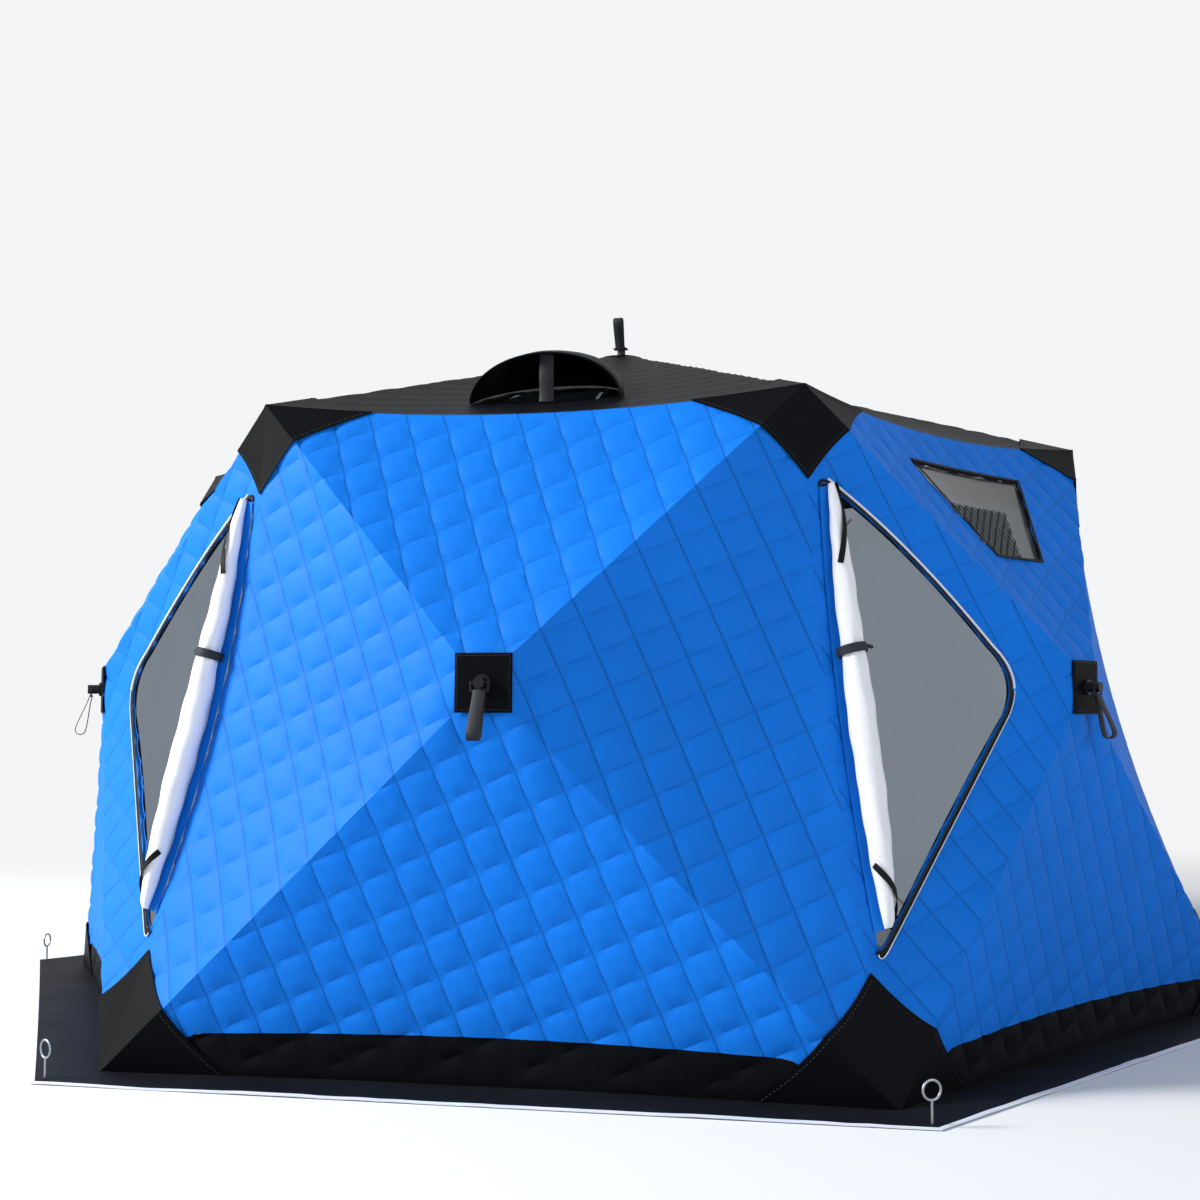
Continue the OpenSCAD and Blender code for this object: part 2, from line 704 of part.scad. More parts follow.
module left_door_zip() color(black) to_left() door_zip();
module right_door_zip() color(black) to_right() door_zip();
module left_door_flap() color("white") to_left() door_flap();
module right_door_flap() color("white") to_right() door_flap();
module left_door_tie() color(black) to_left() door_tie();
module right_door_tie() color(black) to_right() door_tie();
module left_window() color([0.3, 0.32, 0.34]) to_left() window_sheet();
module right_window() color([0.3, 0.32, 0.34]) to_right() window_sheet();

module vent_hood() color(black) vent_shell();
module vent_prop() color(grey) prop();

front_wall();
front_right_wall();
back_right_wall();
back_wall();
back_left_wall();
front_left_wall();
roof();
front_left_top_corner();
front_right_top_corner();
right_top_corner();
back_right_top_corner();
back_left_top_corner();
left_top_corner();
front_left_foot();
front_right_foot();
right_foot();
back_right_foot();
back_left_foot();
left_foot();
lower_band();
snow_skirt();
ice_anchors();
front_hub();
front_right_hub();
back_right_hub();
back_hub();
back_left_hub();
front_left_hub();
roof_hub();
wall_poles();
roof_poles();
hub_patches();
pull_straps();
left_door_zip();
right_door_zip();
left_door_flap();
right_door_flap();
left_door_tie();
right_door_tie();
left_window();
right_window();
vent_hood();
vent_prop();
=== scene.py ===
import math
import bmesh
import bpy
import numpy as np
from mathutils import Matrix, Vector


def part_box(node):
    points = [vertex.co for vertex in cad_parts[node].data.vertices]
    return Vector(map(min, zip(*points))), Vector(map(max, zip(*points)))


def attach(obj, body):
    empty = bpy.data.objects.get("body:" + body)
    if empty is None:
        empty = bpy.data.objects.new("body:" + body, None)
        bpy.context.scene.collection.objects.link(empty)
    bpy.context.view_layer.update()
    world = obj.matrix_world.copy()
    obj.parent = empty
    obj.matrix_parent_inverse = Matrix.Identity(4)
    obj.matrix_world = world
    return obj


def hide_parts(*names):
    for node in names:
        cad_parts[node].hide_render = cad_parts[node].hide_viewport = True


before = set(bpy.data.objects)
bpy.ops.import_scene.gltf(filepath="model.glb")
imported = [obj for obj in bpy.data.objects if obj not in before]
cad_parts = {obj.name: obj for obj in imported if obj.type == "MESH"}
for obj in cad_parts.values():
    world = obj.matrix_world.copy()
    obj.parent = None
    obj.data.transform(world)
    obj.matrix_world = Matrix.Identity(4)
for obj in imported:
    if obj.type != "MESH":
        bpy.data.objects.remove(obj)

bl_info = {
    "name": "Ice fishing hut",
    "version": (1, 0, 0),
    "blender": (4, 5, 0),
    "location": "3D View > Sidebar > Hut",
    "description": "Cloth, zips, hardware and stage of a six-sided pop-up ice fishing hut",
    "category": "Object",
}

SIDES = 6
TURN = math.tau / SIDES
HALF_TURN = TURN / 2
MM = 0.001
WALLS = {"front": 0, "front_right": 1, "back_right": 2, "back": 3, "back_left": 4, "front_left": 5}
CORNERS = ("front_left", "front_right", "right", "back_right", "back_left", "left")


def linear(hex_colour):
    """Linear RGB of an sRGB hex colour."""
    values = [int(hex_colour[i:i + 2], 16) / 255 for i in (1, 3, 5)]
    return [c / 12.92 if c <= 0.04045 else ((c + 0.055) / 1.055) ** 2.4 for c in values]


def length(name, default, description):
    return bpy.props.FloatProperty(name=name, description=description, default=default,
                                   unit="LENGTH", subtype="DISTANCE", precision=4)


def angle(name, degrees, description):
    return bpy.props.FloatProperty(name=name, description=description, unit="ROTATION",
                                   default=math.radians(degrees), subtype="ANGLE")


def colour(name, hex_colour, description):
    return bpy.props.FloatVectorProperty(name=name, description=description, subtype="COLOR",
                                         size=3, min=0, max=1, default=linear(hex_colour))


class HutSizes(bpy.types.PropertyGroup):
    """Sizes of the hut, as in the part's own source."""
    base_width: length("Base width", 2.0, "Width of a wall between its bottom corners")
    top_width: length("Top width", 1.512, "Width of a wall between its top corners")
    wall_height: length("Wall height", 1.775, "Height of the top corners")
    roof_height: length("Roof height", 2.145, "Height of the roof's flat middle")
    hub_in: length("Hub set-back", 0.016, "How far the walls' middles stand inside the feet")
    hub_height: length("Hub height", 0.985, "Height of the wall hubs")
    seam_in: length("Seam pull", 0.107, "How far the corner seams are pulled in at half height")
    eave_drop: length("Eaves sag", 0.042, "How far the eaves sag in the middle")
    eave_in: length("Eaves pull", 0.038, "How far the eaves are pulled in at the middle")
    base_in: length("Foot pull", 0.035, "How far the ground edges are pulled in at the middle")
    band_height: length("Band height", 0.098, "Height of the lower band at the corners")
    band_rise: length("Band rise", 0.022, "Extra height of the lower band in the middle")
    skirt_width: length("Skirt width", 0.168, "Width of the snow skirt")
    hub_flat: length("Hub flat", 0.136, "Side of the flat square in the middle of a wall")
    hub_patch: length("Hub patch", 0.148, "Side of the hub patch")
    patch_lift: length("Patch lift", 0.0040, "Height of the corner patches above the wall")
    patch_eave: length("Patch along eaves", 0.305, "Length of a top patch along the eaves")
    patch_seam: length("Patch along seam", 0.262, "Length of a top patch down the seam")
    patch_ridge: length("Patch along ridge", 0.172, "Length of a top patch along a ridge")
    boot_seam: length("Foot along seam", 0.305, "Length of a foot patch up the seam")
    boot_ground: length("Foot along ground", 0.348, "Length of a foot patch along the ground")
    boot_ridge: length("Foot along ridge", 0.235, "Length of a foot patch along a ridge")
    door_top: length("Door top", 1.525, "Height of the doorway's upper tip")
    door_bottom: length("Door bottom", 0.330, "Height of the doorway's lower tip")
    door_seam: length("Door to seam", 0.034, "Distance of the doorway from the corner seam")
    door_point: length("Door point", 0.225, "Distance of the doorway's point from the middle")
    door_point_up: length("Door point height", 0.010, "Height of that point above the hub")
    zip_width: length("Zip width", 0.015, "Width of the zip tape")
    roll_radius: length("Roll radius", 0.043, "Largest radius of the rolled door flap")
    window_top: length("Window top", 0.612, "Width of the window along its upper edge")
    window_low: length("Window bottom", 0.264, "Width of the window along its lower edge")
    window_height: length("Window height", 0.268, "Height of the window")
    window_up: length("Window lift", 0.370, "Height of the window's lower edge above the hub")
    vent_radius: length("Vent half width", 0.222, "Half of the width of the vent hood")
    vent_height: length("Vent height", 0.148, "Height of the vent hood's mouth")
    vent_length: length("Vent depth", 0.330, "Depth of the vent hood")
    vent_front: length("Vent distance", 1.105, "Distance of the mouth from the roof's centre")
    cell: length("Quilting square", 0.096, "Side of a quilting square")
    puff: length("Quilting depth", 0.0062, "Depth of the quilting seams")
    quilt_turn: angle("Quilting turn", 24, "Turn of the quilting squares on a wall")


class HutColours(bpy.types.PropertyGroup):
    """Colours of the hut's cloth and hardware."""
    blue: colour("Wall blue", "#0A74DE", "Quilted wall cloth")
    black: colour("Black cloth", "#0A0C11", "Quilted roof and lower band")
    patch: colour("Patch black", "#08090D", "Corner and hub patches")
    skirt: colour("Skirt black", "#101217", "Snow skirt")
    lining: colour("Lining grey", "#C2CBD4", "Coated inside of the walls")
    flap: colour("Flap white", "#F1F3F8", "Inside of the rolled door flaps")
    webbing: colour("Webbing", "#24282E", "Pull straps and ties")
    prop: colour("Prop grey", "#1B1D22", "Vent prop")
    thread: colour("Thread", "#2A2D34", "Thread of the patches' stitches")
    zip: colour("Zip black", "#08090B", "Zip tape and teeth")
    piping: colour("Piping", "#E4E9F6", "Piping along the doorways and the skirt's hem")
    cover: colour("Cover brown", "#5A3F33", "Window cover folded up inside")
    vinyl: colour("Window vinyl", "#5A6168", "Clear window sheet")
    nylon: colour("Hub nylon", "#101114", "Hubs and knobs")
    rod: colour("Rod", "#D9D6C6", "Glass-fibre poles")
    wire: colour("Wire", "#9A9DA1", "Ice anchors and bails")


# Form of the walls and the roof

def mix(a, b, t):
    return a + (b - a) * t


def hump(v):
    return 4 * v * (1 - v)


class Form:
    """The hut's curved panels: the same rules as the part's source, in metres."""

    def __init__(self, s):
        self.s = s
        self.base, self.top = s.base_width / 2, s.top_width / 2
        self.flat = s.hub_flat / 2
        self.base_out = self.base / math.tan(HALF_TURN)
        self.top_out = self.top / math.tan(HALF_TURN)
        self.seam_x, self.seam_y = s.seam_in * math.sin(HALF_TURN), s.seam_in * math.cos(HALF_TURN)
        self.hub_out = self.base_out - s.hub_in
        lean = math.tan(HALF_TURN)
        f, out, mid = self.flat, -self.hub_out, s.hub_height
        self.wall = (
            np.array([(-self.top, -self.top_out, s.wall_height), (self.top, -self.top_out, s.wall_height),
                      (self.base, -self.base_out, 0), (-self.base, -self.base_out, 0)]),
            np.array([(0, s.eave_in, -s.eave_drop), (-self.seam_x, self.seam_y, 0), (0, s.base_in, 0),
                      (self.seam_x, self.seam_y, 0)]),
            np.array([(-f, out, mid + f), (f, out, mid + f), (f, out, mid - f), (-f, out, mid - f)]),
            np.array((0.0, 1.0, 0.0)),
            np.array([(0, 0, -1), (-lean, 0, 0), (0, 0, 0), (lean, 0, 0)]),
            1.0)
        turns = [HALF_TURN - math.pi / 2 - k * TURN for k in range(SIDES)]
        ring = lambda r, a, z: (r * math.cos(a), r * math.sin(a), z)
        wide = 1 / math.cos(HALF_TURN)
        self.roof = (
            np.array([ring(self.top_out * wide, a, s.wall_height) for a in turns]),
            np.array([ring(-s.eave_in, a - HALF_TURN, -s.eave_drop) for a in turns]),
            np.array([ring(f * wide, a, s.roof_height) for a in turns]),
            np.array((0.0, 0.0, -1.0)),
            np.array([ring(-1, a - HALF_TURN, 0) for a in turns]),
            1 / (1 + math.cos(TURN)))

    def band(self, v):
        """Height of the lower band at a place v along the ground side."""
        ramp = np.minimum(1, 12 * np.minimum(v, 1 - v))
        return ramp * (self.s.band_height + self.s.band_rise * hump(v))

    def wall_at(self, x, z):
        """Y of the front wall's face at a place x, z, with its side and its part t of the way out."""
        s, f, mid = self.s, self.flat, self.s.hub_height
        side = np.abs(x)
        rise = np.clip((z - mid - f) / (s.wall_height - mid - f), 0, 1.2)
        fall = np.clip((mid - f - z) / (mid - f), 0, 1.2)
        eaves = (z > mid + f) & (side <= f + (self.top - f) * rise + 1e-9)
        foot = (z < mid - f) & (side <= f + (self.base - f) * fall + 1e-9)
        middle = (np.abs(z - mid) <= f) & (side <= f)
        v, t = np.full_like(x, 0.5), np.zeros_like(x)
        for _ in range(30):
            eave_z = s.wall_height - s.eave_drop * hump(v)
            t_eaves = (z - mid - f) / (eave_z - mid - f)
            t_side = (side - f) / (mix(self.top, self.base, v) - self.seam_x * hump(v) - f)
            t = np.clip(np.where(eaves, t_eaves, np.where(foot, fall, t_side)), 0, 1)
            half = np.where(eaves, mix(f, self.top, t), mix(f, self.base, t))
            v_side = (mix(mid + f, s.wall_height, t) - z) / np.maximum(mix(2 * f, s.wall_height, t), 1e-9)
            v = np.clip(np.where(eaves | foot, 0.5 + x / (2 * half), v_side), 0, 1)
        y_eaves = mix(-self.hub_out, -self.top_out + s.eave_in * hump(v), t)
        y_foot = mix(-self.hub_out, -self.base_out + s.base_in * hump(v), t)
        y_side = mix(-self.hub_out, mix(-self.top_out, -self.base_out, v) + self.seam_y * hump(v), t)
        y = np.where(eaves, y_eaves, np.where(foot, y_foot, y_side))
        kind = np.where(eaves, 0, np.where(foot, 2, np.where(x > 0, 1, 3)))
        return np.where(middle, -self.hub_out, y), np.where(middle, -1, kind), np.where(middle, 0, t)

    def roof_at(self, x, y):
        """Z of the roof at a place x, y, and its part t of the way out."""
        s = self.s
        heading = np.arctan2(x, -y)
        side = np.round(heading / TURN) % SIDES
        out = np.cos(side * TURN) * -y + np.sin(side * TURN) * x
        across = np.sin(side * TURN) * y + np.cos(side * TURN) * x
        t, v = np.zeros_like(x), np.full_like(x, 0.5)
        for _ in range(12):
            reach = self.top_out - s.eave_in * hump(v)
            t = np.clip((out - self.flat) / (reach - self.flat), 0, 1)
            v = np.clip(0.5 - across / (2 * mix(self.flat * math.tan(HALF_TURN), self.top, t)), 0, 1)
        z = mix(s.roof_height, s.wall_height - s.eave_drop * hump(v), t)
        return z, t

    def seam(self, z):
        v = z / self.s.wall_height
        return mix(-self.base, -self.top, v) + self.seam_x * hump(v)

    def door(self, grow=0.0, fine=4):
        """The doorway's outline on the front wall, clockwise from its upper tip."""
        s = self.s
        tip = lambda z, sign: np.array((self.seam(z) + s.door_seam - grow, z + sign * 2.2 * grow))
        top, low = tip(s.door_top, 1), tip(s.door_bottom, -1)
        peak = np.array((-s.door_point + 1.3 * grow, s.hub_height + s.door_point_up))
        up, down = (top - peak) / np.linalg.norm(top - peak), (low - peak) / np.linalg.norm(low - peak)
        up_start, down_start = peak + up * 0.130, peak + down * 0.130
        belly = (top + up_start) / 2 + 0.030
        middle = (s.door_top + s.door_bottom) / 2
        pull = np.array((self.seam(middle) + s.door_seam - grow, middle)) * 2 - (top + low) / 2
        parts = [bend(mix(top, pull, 0.05), top, mix(top, belly, 0.12), 3 * fine),
                 bend(mix(top, belly, 0.2), belly, up_start, 6 * fine),
                 bend(up_start, mix(peak, up_start, 0.1), down_start, 7 * fine),
                 bend(mix(low, down_start, 0.08), low, mix(low, pull, 0.05), 3 * fine),
                 bend(low, pull, top, 6 * fine)[fine:-fine]]
        return np.concatenate(parts)

    def stem_hole(self, middle):
        """Outline of the hole that a hub's stem passes through."""
        return np.array([(middle[0] + 0.0115 * math.cos(a), middle[1] + 0.0115 * math.sin(a))
                         for a in np.linspace(0, math.tau, 25)[:-1]])

    def window(self, grow=0.0):
        s = self.s
        low = s.hub_height + s.window_up - grow
        high = s.hub_height + s.window_up + s.window_height + grow
        top, bottom = s.window_top / 2 + 1.4 * grow, s.window_low / 2 + 1.4 * grow
        return np.array([(-top, high), (top, high), (bottom, low), (-bottom, low)])


def bend(a, b, c, n):
    s = np.linspace(0, 1, n + 1)[:, None]
    return a * (1 - s) ** 2 + b * 2 * s * (1 - s) + c * s * s


def side_point(panel, k, v):
    corners, bows = panel[0], panel[1]
    return mix(corners[k], corners[(k + 1) % len(corners)], v) + bows[k] * hump(v)


def panel_point(panel, k, v, t):
    flat = panel[2]
    return mix(mix(flat[k], flat[(k + 1) % len(flat)], v), side_point(panel, k, v), t)


def corner_in(panel, k):
    return panel[3] + (panel[4][k] + panel[4][k - 1]) * panel[5]


def inward(panel, k, v, at_side):
    """Inward direction at a point, mitred along the panel's sides."""
    if not at_side:
        return panel[3]
    if v < 0.001:
        return corner_in(panel, k)
    if v > 0.999:
        return corner_in(panel, (k + 1) % len(panel[0]))
    return panel[3] + panel[4][k]


def turned(points, n, mirrored=False):
    """Points of the front wall taken n sixths of a turn round, or mirrored left for right."""
    points = np.array(points, dtype=float)
    c, s = math.cos(n * TURN), math.sin(n * TURN)
    x, y = points[..., 0] * c - points[..., 1] * s, points[..., 0] * s + points[..., 1] * c
    return np.stack((-x if mirrored else x, y, points[..., 2]), -1)


# Meshes

def new_object(name, mesh, *materials):
    obj = bpy.data.objects.new(name, mesh)
    bpy.context.scene.collection.objects.link(obj)
    for material in materials:
        mesh.materials.append(material)
    return obj


def mesh_of(name, points, faces):
    mesh = bpy.data.meshes.new(name)
    mesh.from_pydata([tuple(p) for p in points], [], faces)
    mesh.update()
    return mesh


MERGE = 1e-5         # points nearer to each other than this are one


def tidy(mesh):
    """Merges doubles and turns the faces outwards."""
    work = bmesh.new()
    work.from_mesh(mesh)
    bmesh.ops.remove_doubles(work, verts=work.verts, dist=MERGE)
    bmesh.ops.dissolve_degenerate(work, edges=work.edges, dist=MERGE)
    bmesh.ops.recalc_face_normals(work, faces=work.faces)
    work.to_mesh(mesh)
    work.free()


def smooth(obj, degrees=40):
    """Smooth faces, with creases sharper than the given angle."""
    for polygon in obj.data.polygons:
        polygon.use_smooth = True
    obj.data.set_sharp_from_angle(angle=math.radians(degrees))


CUT_REACH = 1.0      # a cutter reaches this far up and down, twice as far as the plate that it cuts


def prism(outline):
    """A closed upright prism over an outline in the plane, for cutting."""
    x, y = outline[:, 0], outline[:, 1]
    if np.sum(x * np.roll(y, -1) - np.roll(x, -1) * y) < 0:
        outline = outline[::-1]
    n = len(outline)
    points = [(*p, -CUT_REACH) for p in outline] + [(*p, CUT_REACH) for p in outline]
    faces = [tuple(range(n - 1, -1, -1)), tuple(range(n, 2 * n))]
    faces += [(i, (i + 1) % n, n + (i + 1) % n, n + i) for i in range(n)]
    return new_object("cutter", mesh_of("cutter", points, faces))


def cut(obj, cutter, operation):
    """Applies a Boolean and drops the cutter."""
    step = obj.modifiers.new("cut", "BOOLEAN")
    step.operation, step.solver, step.object = operation, "MANIFOLD", cutter
    made = bpy.data.meshes.new_from_object(obj.evaluated_get(bpy.context.evaluated_depsgraph_get()))
    obj.modifiers.clear()
    old, obj.data = obj.data, made
    bpy.data.meshes.remove(old)
    bpy.data.meshes.remove(cutter.data)


STEPS = 6            # mesh steps across a quilting square


def plate(form, outline, holes, creases, turn):
    """A flat plate one unit thick, meshed along the quilting and cut to an outline."""
    s = form.s
    step = s.cell / STEPS
    along, up = np.array((math.cos(turn), math.sin(turn))), np.array((-math.sin(turn), math.cos(turn)))
    low, high = outline.min(0) - 2 * step, outline.max(0) + 2 * step
    box = np.array([low, (high[0], low[1]), high, (low[0], high[1])])
    p, q = box @ along / step, box @ up / step
    ps = range(math.floor(p.min()), math.ceil(p.max()) + 1)
    qs = range(math.floor(q.min()), math.ceil(q.max()) + 1)
    flat = bmesh.new()
    kept = {}
    for i in ps:
        for j in qs:
            place = (along * i + up * j) * step
            if (place > low - step).all() and (place < high + step).all():
                kept[i, j] = flat.verts.new((*place, 0))
    for i, j in kept:
        square = [kept.get(key) for key in ((i, j), (i + 1, j), (i + 1, j + 1), (i, j + 1))]
        if all(square):
            flat.faces.new(square)
    for point, normal in creases:
        everything = flat.verts[:] + flat.edges[:] + flat.faces[:]
        bmesh.ops.bisect_plane(flat, geom=everything, plane_co=(*point, 0), plane_no=(*normal, 0), dist=1e-6)
    loose = [v for v in flat.verts if not v.link_faces]
    bmesh.ops.delete(flat, geom=loose, context="VERTS")
    flat.verts.index_update()
    n = len(flat.verts)
    points = [(v.co.x, v.co.y, 0.5) for v in flat.verts] + [(v.co.x, v.co.y, -0.5) for v in flat.verts]
    faces = [[v.index for v in f.verts] for f in flat.faces]
    faces += [[i + n for i in reversed(f)] for f in faces]
    for edge in flat.edges:
        if edge.is_boundary:
            loop = edge.link_loops[0]
            a, b = loop.vert.index, loop.link_loop_next.vert.index
            faces.append([b, a, a + n, b + n])
    flat.free()
    obj = new_object("plate", mesh_of("plate", points, faces))
    cut(obj, prism(outline), "INTERSECT")
    for hole in holes:
        cut(obj, prism(hole), "DIFFERENCE")
    mesh = obj.data
    mesh.materials.clear()
    bpy.data.objects.remove(obj)
    return mesh


def flat_points(mesh):
    points = np.empty(len(mesh.vertices) * 3)
    mesh.vertices.foreach_get("co", points)
    return points.reshape(-1, 3)


def quilt_uv(points, form, turn):
    """Quilting squares as units: whole numbers lie on the seams."""
    c, s = math.cos(turn), math.sin(turn)
    across, up = points[:, 0] * c + points[:, 1] * s, points[:, 1] * c - points[:, 0] * s
    return np.stack((across, up), 1) / form.s.cell


def puffs(uv):
    """0 in the quilting seams, 1 on top of a square."""
    return np.abs(np.sin(math.pi * uv[:, 0]) * np.sin(math.pi * uv[:, 1])) ** 0.45


def ripples(points, seed):
    """Slow unevenness of stretched cloth, from -1 to 1."""
    x, y = points[:, 0], points[:, 1]
    waves = ((2.9, 1.7), (-3.7, 4.3), (6.1, 2.3), (-5.3, -7.7), (9.7, 5.1))
    total = sum(np.sin(a * x + b * y + 1.7 * i + seed * (2.1 + i)) / (1 + 0.5 * i)
                for i, (a, b) in enumerate(waves))
    return total / 2.6


def soften(x, reach):
    x = np.clip(x / reach, 0, 1)
    return x * x * (3 - 2 * x)


THICK = 0.0085       # from the wall's outer face to the lining
SEAM_CALM = 0.05     # the quilting dies away over this distance from a panel's edge
EDGE_SINK = 0.0016   # depth of the cloth right at a panel's edge, where it is sewn
EDGE_REACH = 0.010   # the sewn edge is this wide
WALL_WAVE, ROOF_WAVE = 0.0022, 0.003     # depth of the slow unevenness
ROOF_PUFF = 0.35     # the roof's quilting is this share of the walls'
ROOF_QUILT_TURN = math.radians(12)
VENT_HOLE = 0.060, 0.230     # the roof's hole begins and ends this far behind the hood's mouth
VENT_HOLE_HALF = 0.15        # half of that hole's width


def quilted(name, flat, place, uv, materials, mirrored=False):
    """A cloth object from a cut plate: place gives every vertex its point in space."""
    mesh = flat.copy()
    mesh.name = name
    points = flat_points(flat)
    outer = points[:, 2] > 0
    mesh.vertices.foreach_set("co", place(points, outer).astype(np.float32).ravel())
    layer = mesh.uv_layers.new(name="Quilt")
    corners = np.empty(len(mesh.loops), dtype=np.int32)
    mesh.loops.foreach_get("vertex_index", corners)
    layer.data.foreach_set("uv", uv[corners].astype(np.float32).ravel())
    starts = np.empty(len(mesh.polygons), dtype=np.int32)
    mesh.polygons.foreach_get("loop_start", starts)
    inside = np.add.reduceat((~outer)[corners].astype(int), starts)
    totals = np.empty(len(mesh.polygons), dtype=np.int32)
    mesh.polygons.foreach_get("loop_total", totals)
    slots = np.where(inside == 0, 0, np.where(inside == totals, 1, 2))
    mesh.polygons.foreach_set("material_index", slots.astype(np.int32))
    if mirrored:
        mesh.flip_normals()
    mesh.update()
    obj = new_object(name, mesh, *materials)
    smooth(obj, 16)
    return obj


def shell_faces(outer, inner, closed_i=False):
    """Quads around two grids of points [i][j]; closed_i joins the last row to the first."""
    ni, nj = outer.shape[0], outer.shape[1]
    points = np.concatenate((outer.reshape(-1, 3), inner.reshape(-1, 3)))
    at = lambda i, j, layer: layer * ni * nj + (i % ni) * nj + j
    faces = []
    last = ni if closed_i else ni - 1
    for i in range(last):
        for j in range(nj - 1):
            faces.append((at(i, j, 0), at(i + 1, j, 0), at(i + 1, j + 1, 0), at(i, j + 1, 0)))
            faces.append((at(i, j, 1), at(i, j + 1, 1), at(i + 1, j + 1, 1), at(i + 1, j, 1)))
        faces.append((at(i + 1, 0, 0), at(i, 0, 0), at(i, 0, 1), at(i + 1, 0, 1)))
        faces.append((at(i, nj - 1, 0), at(i + 1, nj - 1, 0), at(i + 1, nj - 1, 1), at(i, nj - 1, 1)))
    if not closed_i:
        for j in range(nj - 1):
            faces.append((at(0, j, 0), at(0, j + 1, 0), at(0, j + 1, 1), at(0, j, 1)))
            faces.append((at(ni - 1, j + 1, 0), at(ni - 1, j, 0), at(ni - 1, j, 1), at(ni - 1, j + 1, 1)))
    return points, faces


def joined(parts):
    """One list of points and faces from several."""
    points, faces, start = [], [], 0
    for some, quads in parts:
        points.append(some)
        faces += [tuple(i + start for i in quad) for quad in quads]
        start += len(some)
    return np.concatenate(points), faces


def ribbon(points, ups, width, thick, closed=False):
    """A flat strap with rounded edges along points; ups are the directions out of its face."""
    points, ups = np.asarray(points), np.asarray(ups)
    ahead = np.roll(points, -1, 0) - np.roll(points, 1, 0)
    if not closed:
        ahead[0], ahead[-1] = points[1] - points[0], points[-1] - points[-2]
    ahead /= np.linalg.norm(ahead, axis=1)[:, None]
    side = np.cross(ahead, ups)
    side /= np.linalg.norm(side, axis=1)[:, None]
    up = np.cross(side, ahead)
    profile = ((-1, 0.25), (-0.86, 1), (0, 1), (0.86, 1), (1, 0.25), (0.86, 0), (0, 0), (-0.86, 0))
    rings = np.stack([points + side * (a * width / 2) + up * (b * thick) for a, b in profile], 1)
    n, m = len(points), len(profile)
    faces = [(i * m + j, ((i + 1) % n) * m + j, ((i + 1) % n) * m + (j + 1) % m, i * m + (j + 1) % m)
             for i in range(n if closed else n - 1) for j in range(m)]
    if not closed:
        faces += [tuple(range(m)), tuple((n - 1) * m + j for j in reversed(range(m)))]
    return rings.reshape(-1, 3), faces


def cloth(name, parts, materials, degrees=30, slots=None):
    """A piece from parts of points and faces, turned outwards; slots gives each face its material."""
    points, faces = joined(parts)
    mesh = mesh_of(name, points, faces)
    if slots is not None:
        mesh.polygons.foreach_set("material_index", slots)
    tidy(mesh)
    obj = new_object(name, mesh, *materials)
    smooth(obj, degrees)
    return obj


# Materials

def add(tree, kind, inputs=None, **settings):
    """Adds a node with its settings; inputs gives each socket a value or a link."""
    node = tree.nodes.new(kind)
    for key, value in settings.items():
        setattr(node, key, value)
    for key, value in (inputs or {}).items():
        if isinstance(value, bpy.types.NodeSocket):
            tree.links.new(value, node.inputs[key])
        else:
            node.inputs[key].default_value = value
    return node


def surface(name, **values):
    """A new material with its node tree and shader, whose sockets take the values."""
    material = bpy.data.materials.new(name)
    material.use_nodes = True
    tree = material.node_tree
    shader = next(n for n in tree.nodes if n.type == "BSDF_PRINCIPLED")
    for key, value in values.items():
        shader.inputs[key.replace("_", " ")].default_value = value
    return material, tree, shader


def rgba(values, share=1.0):
    return (*[min(1, c * share) for c in values], 1)


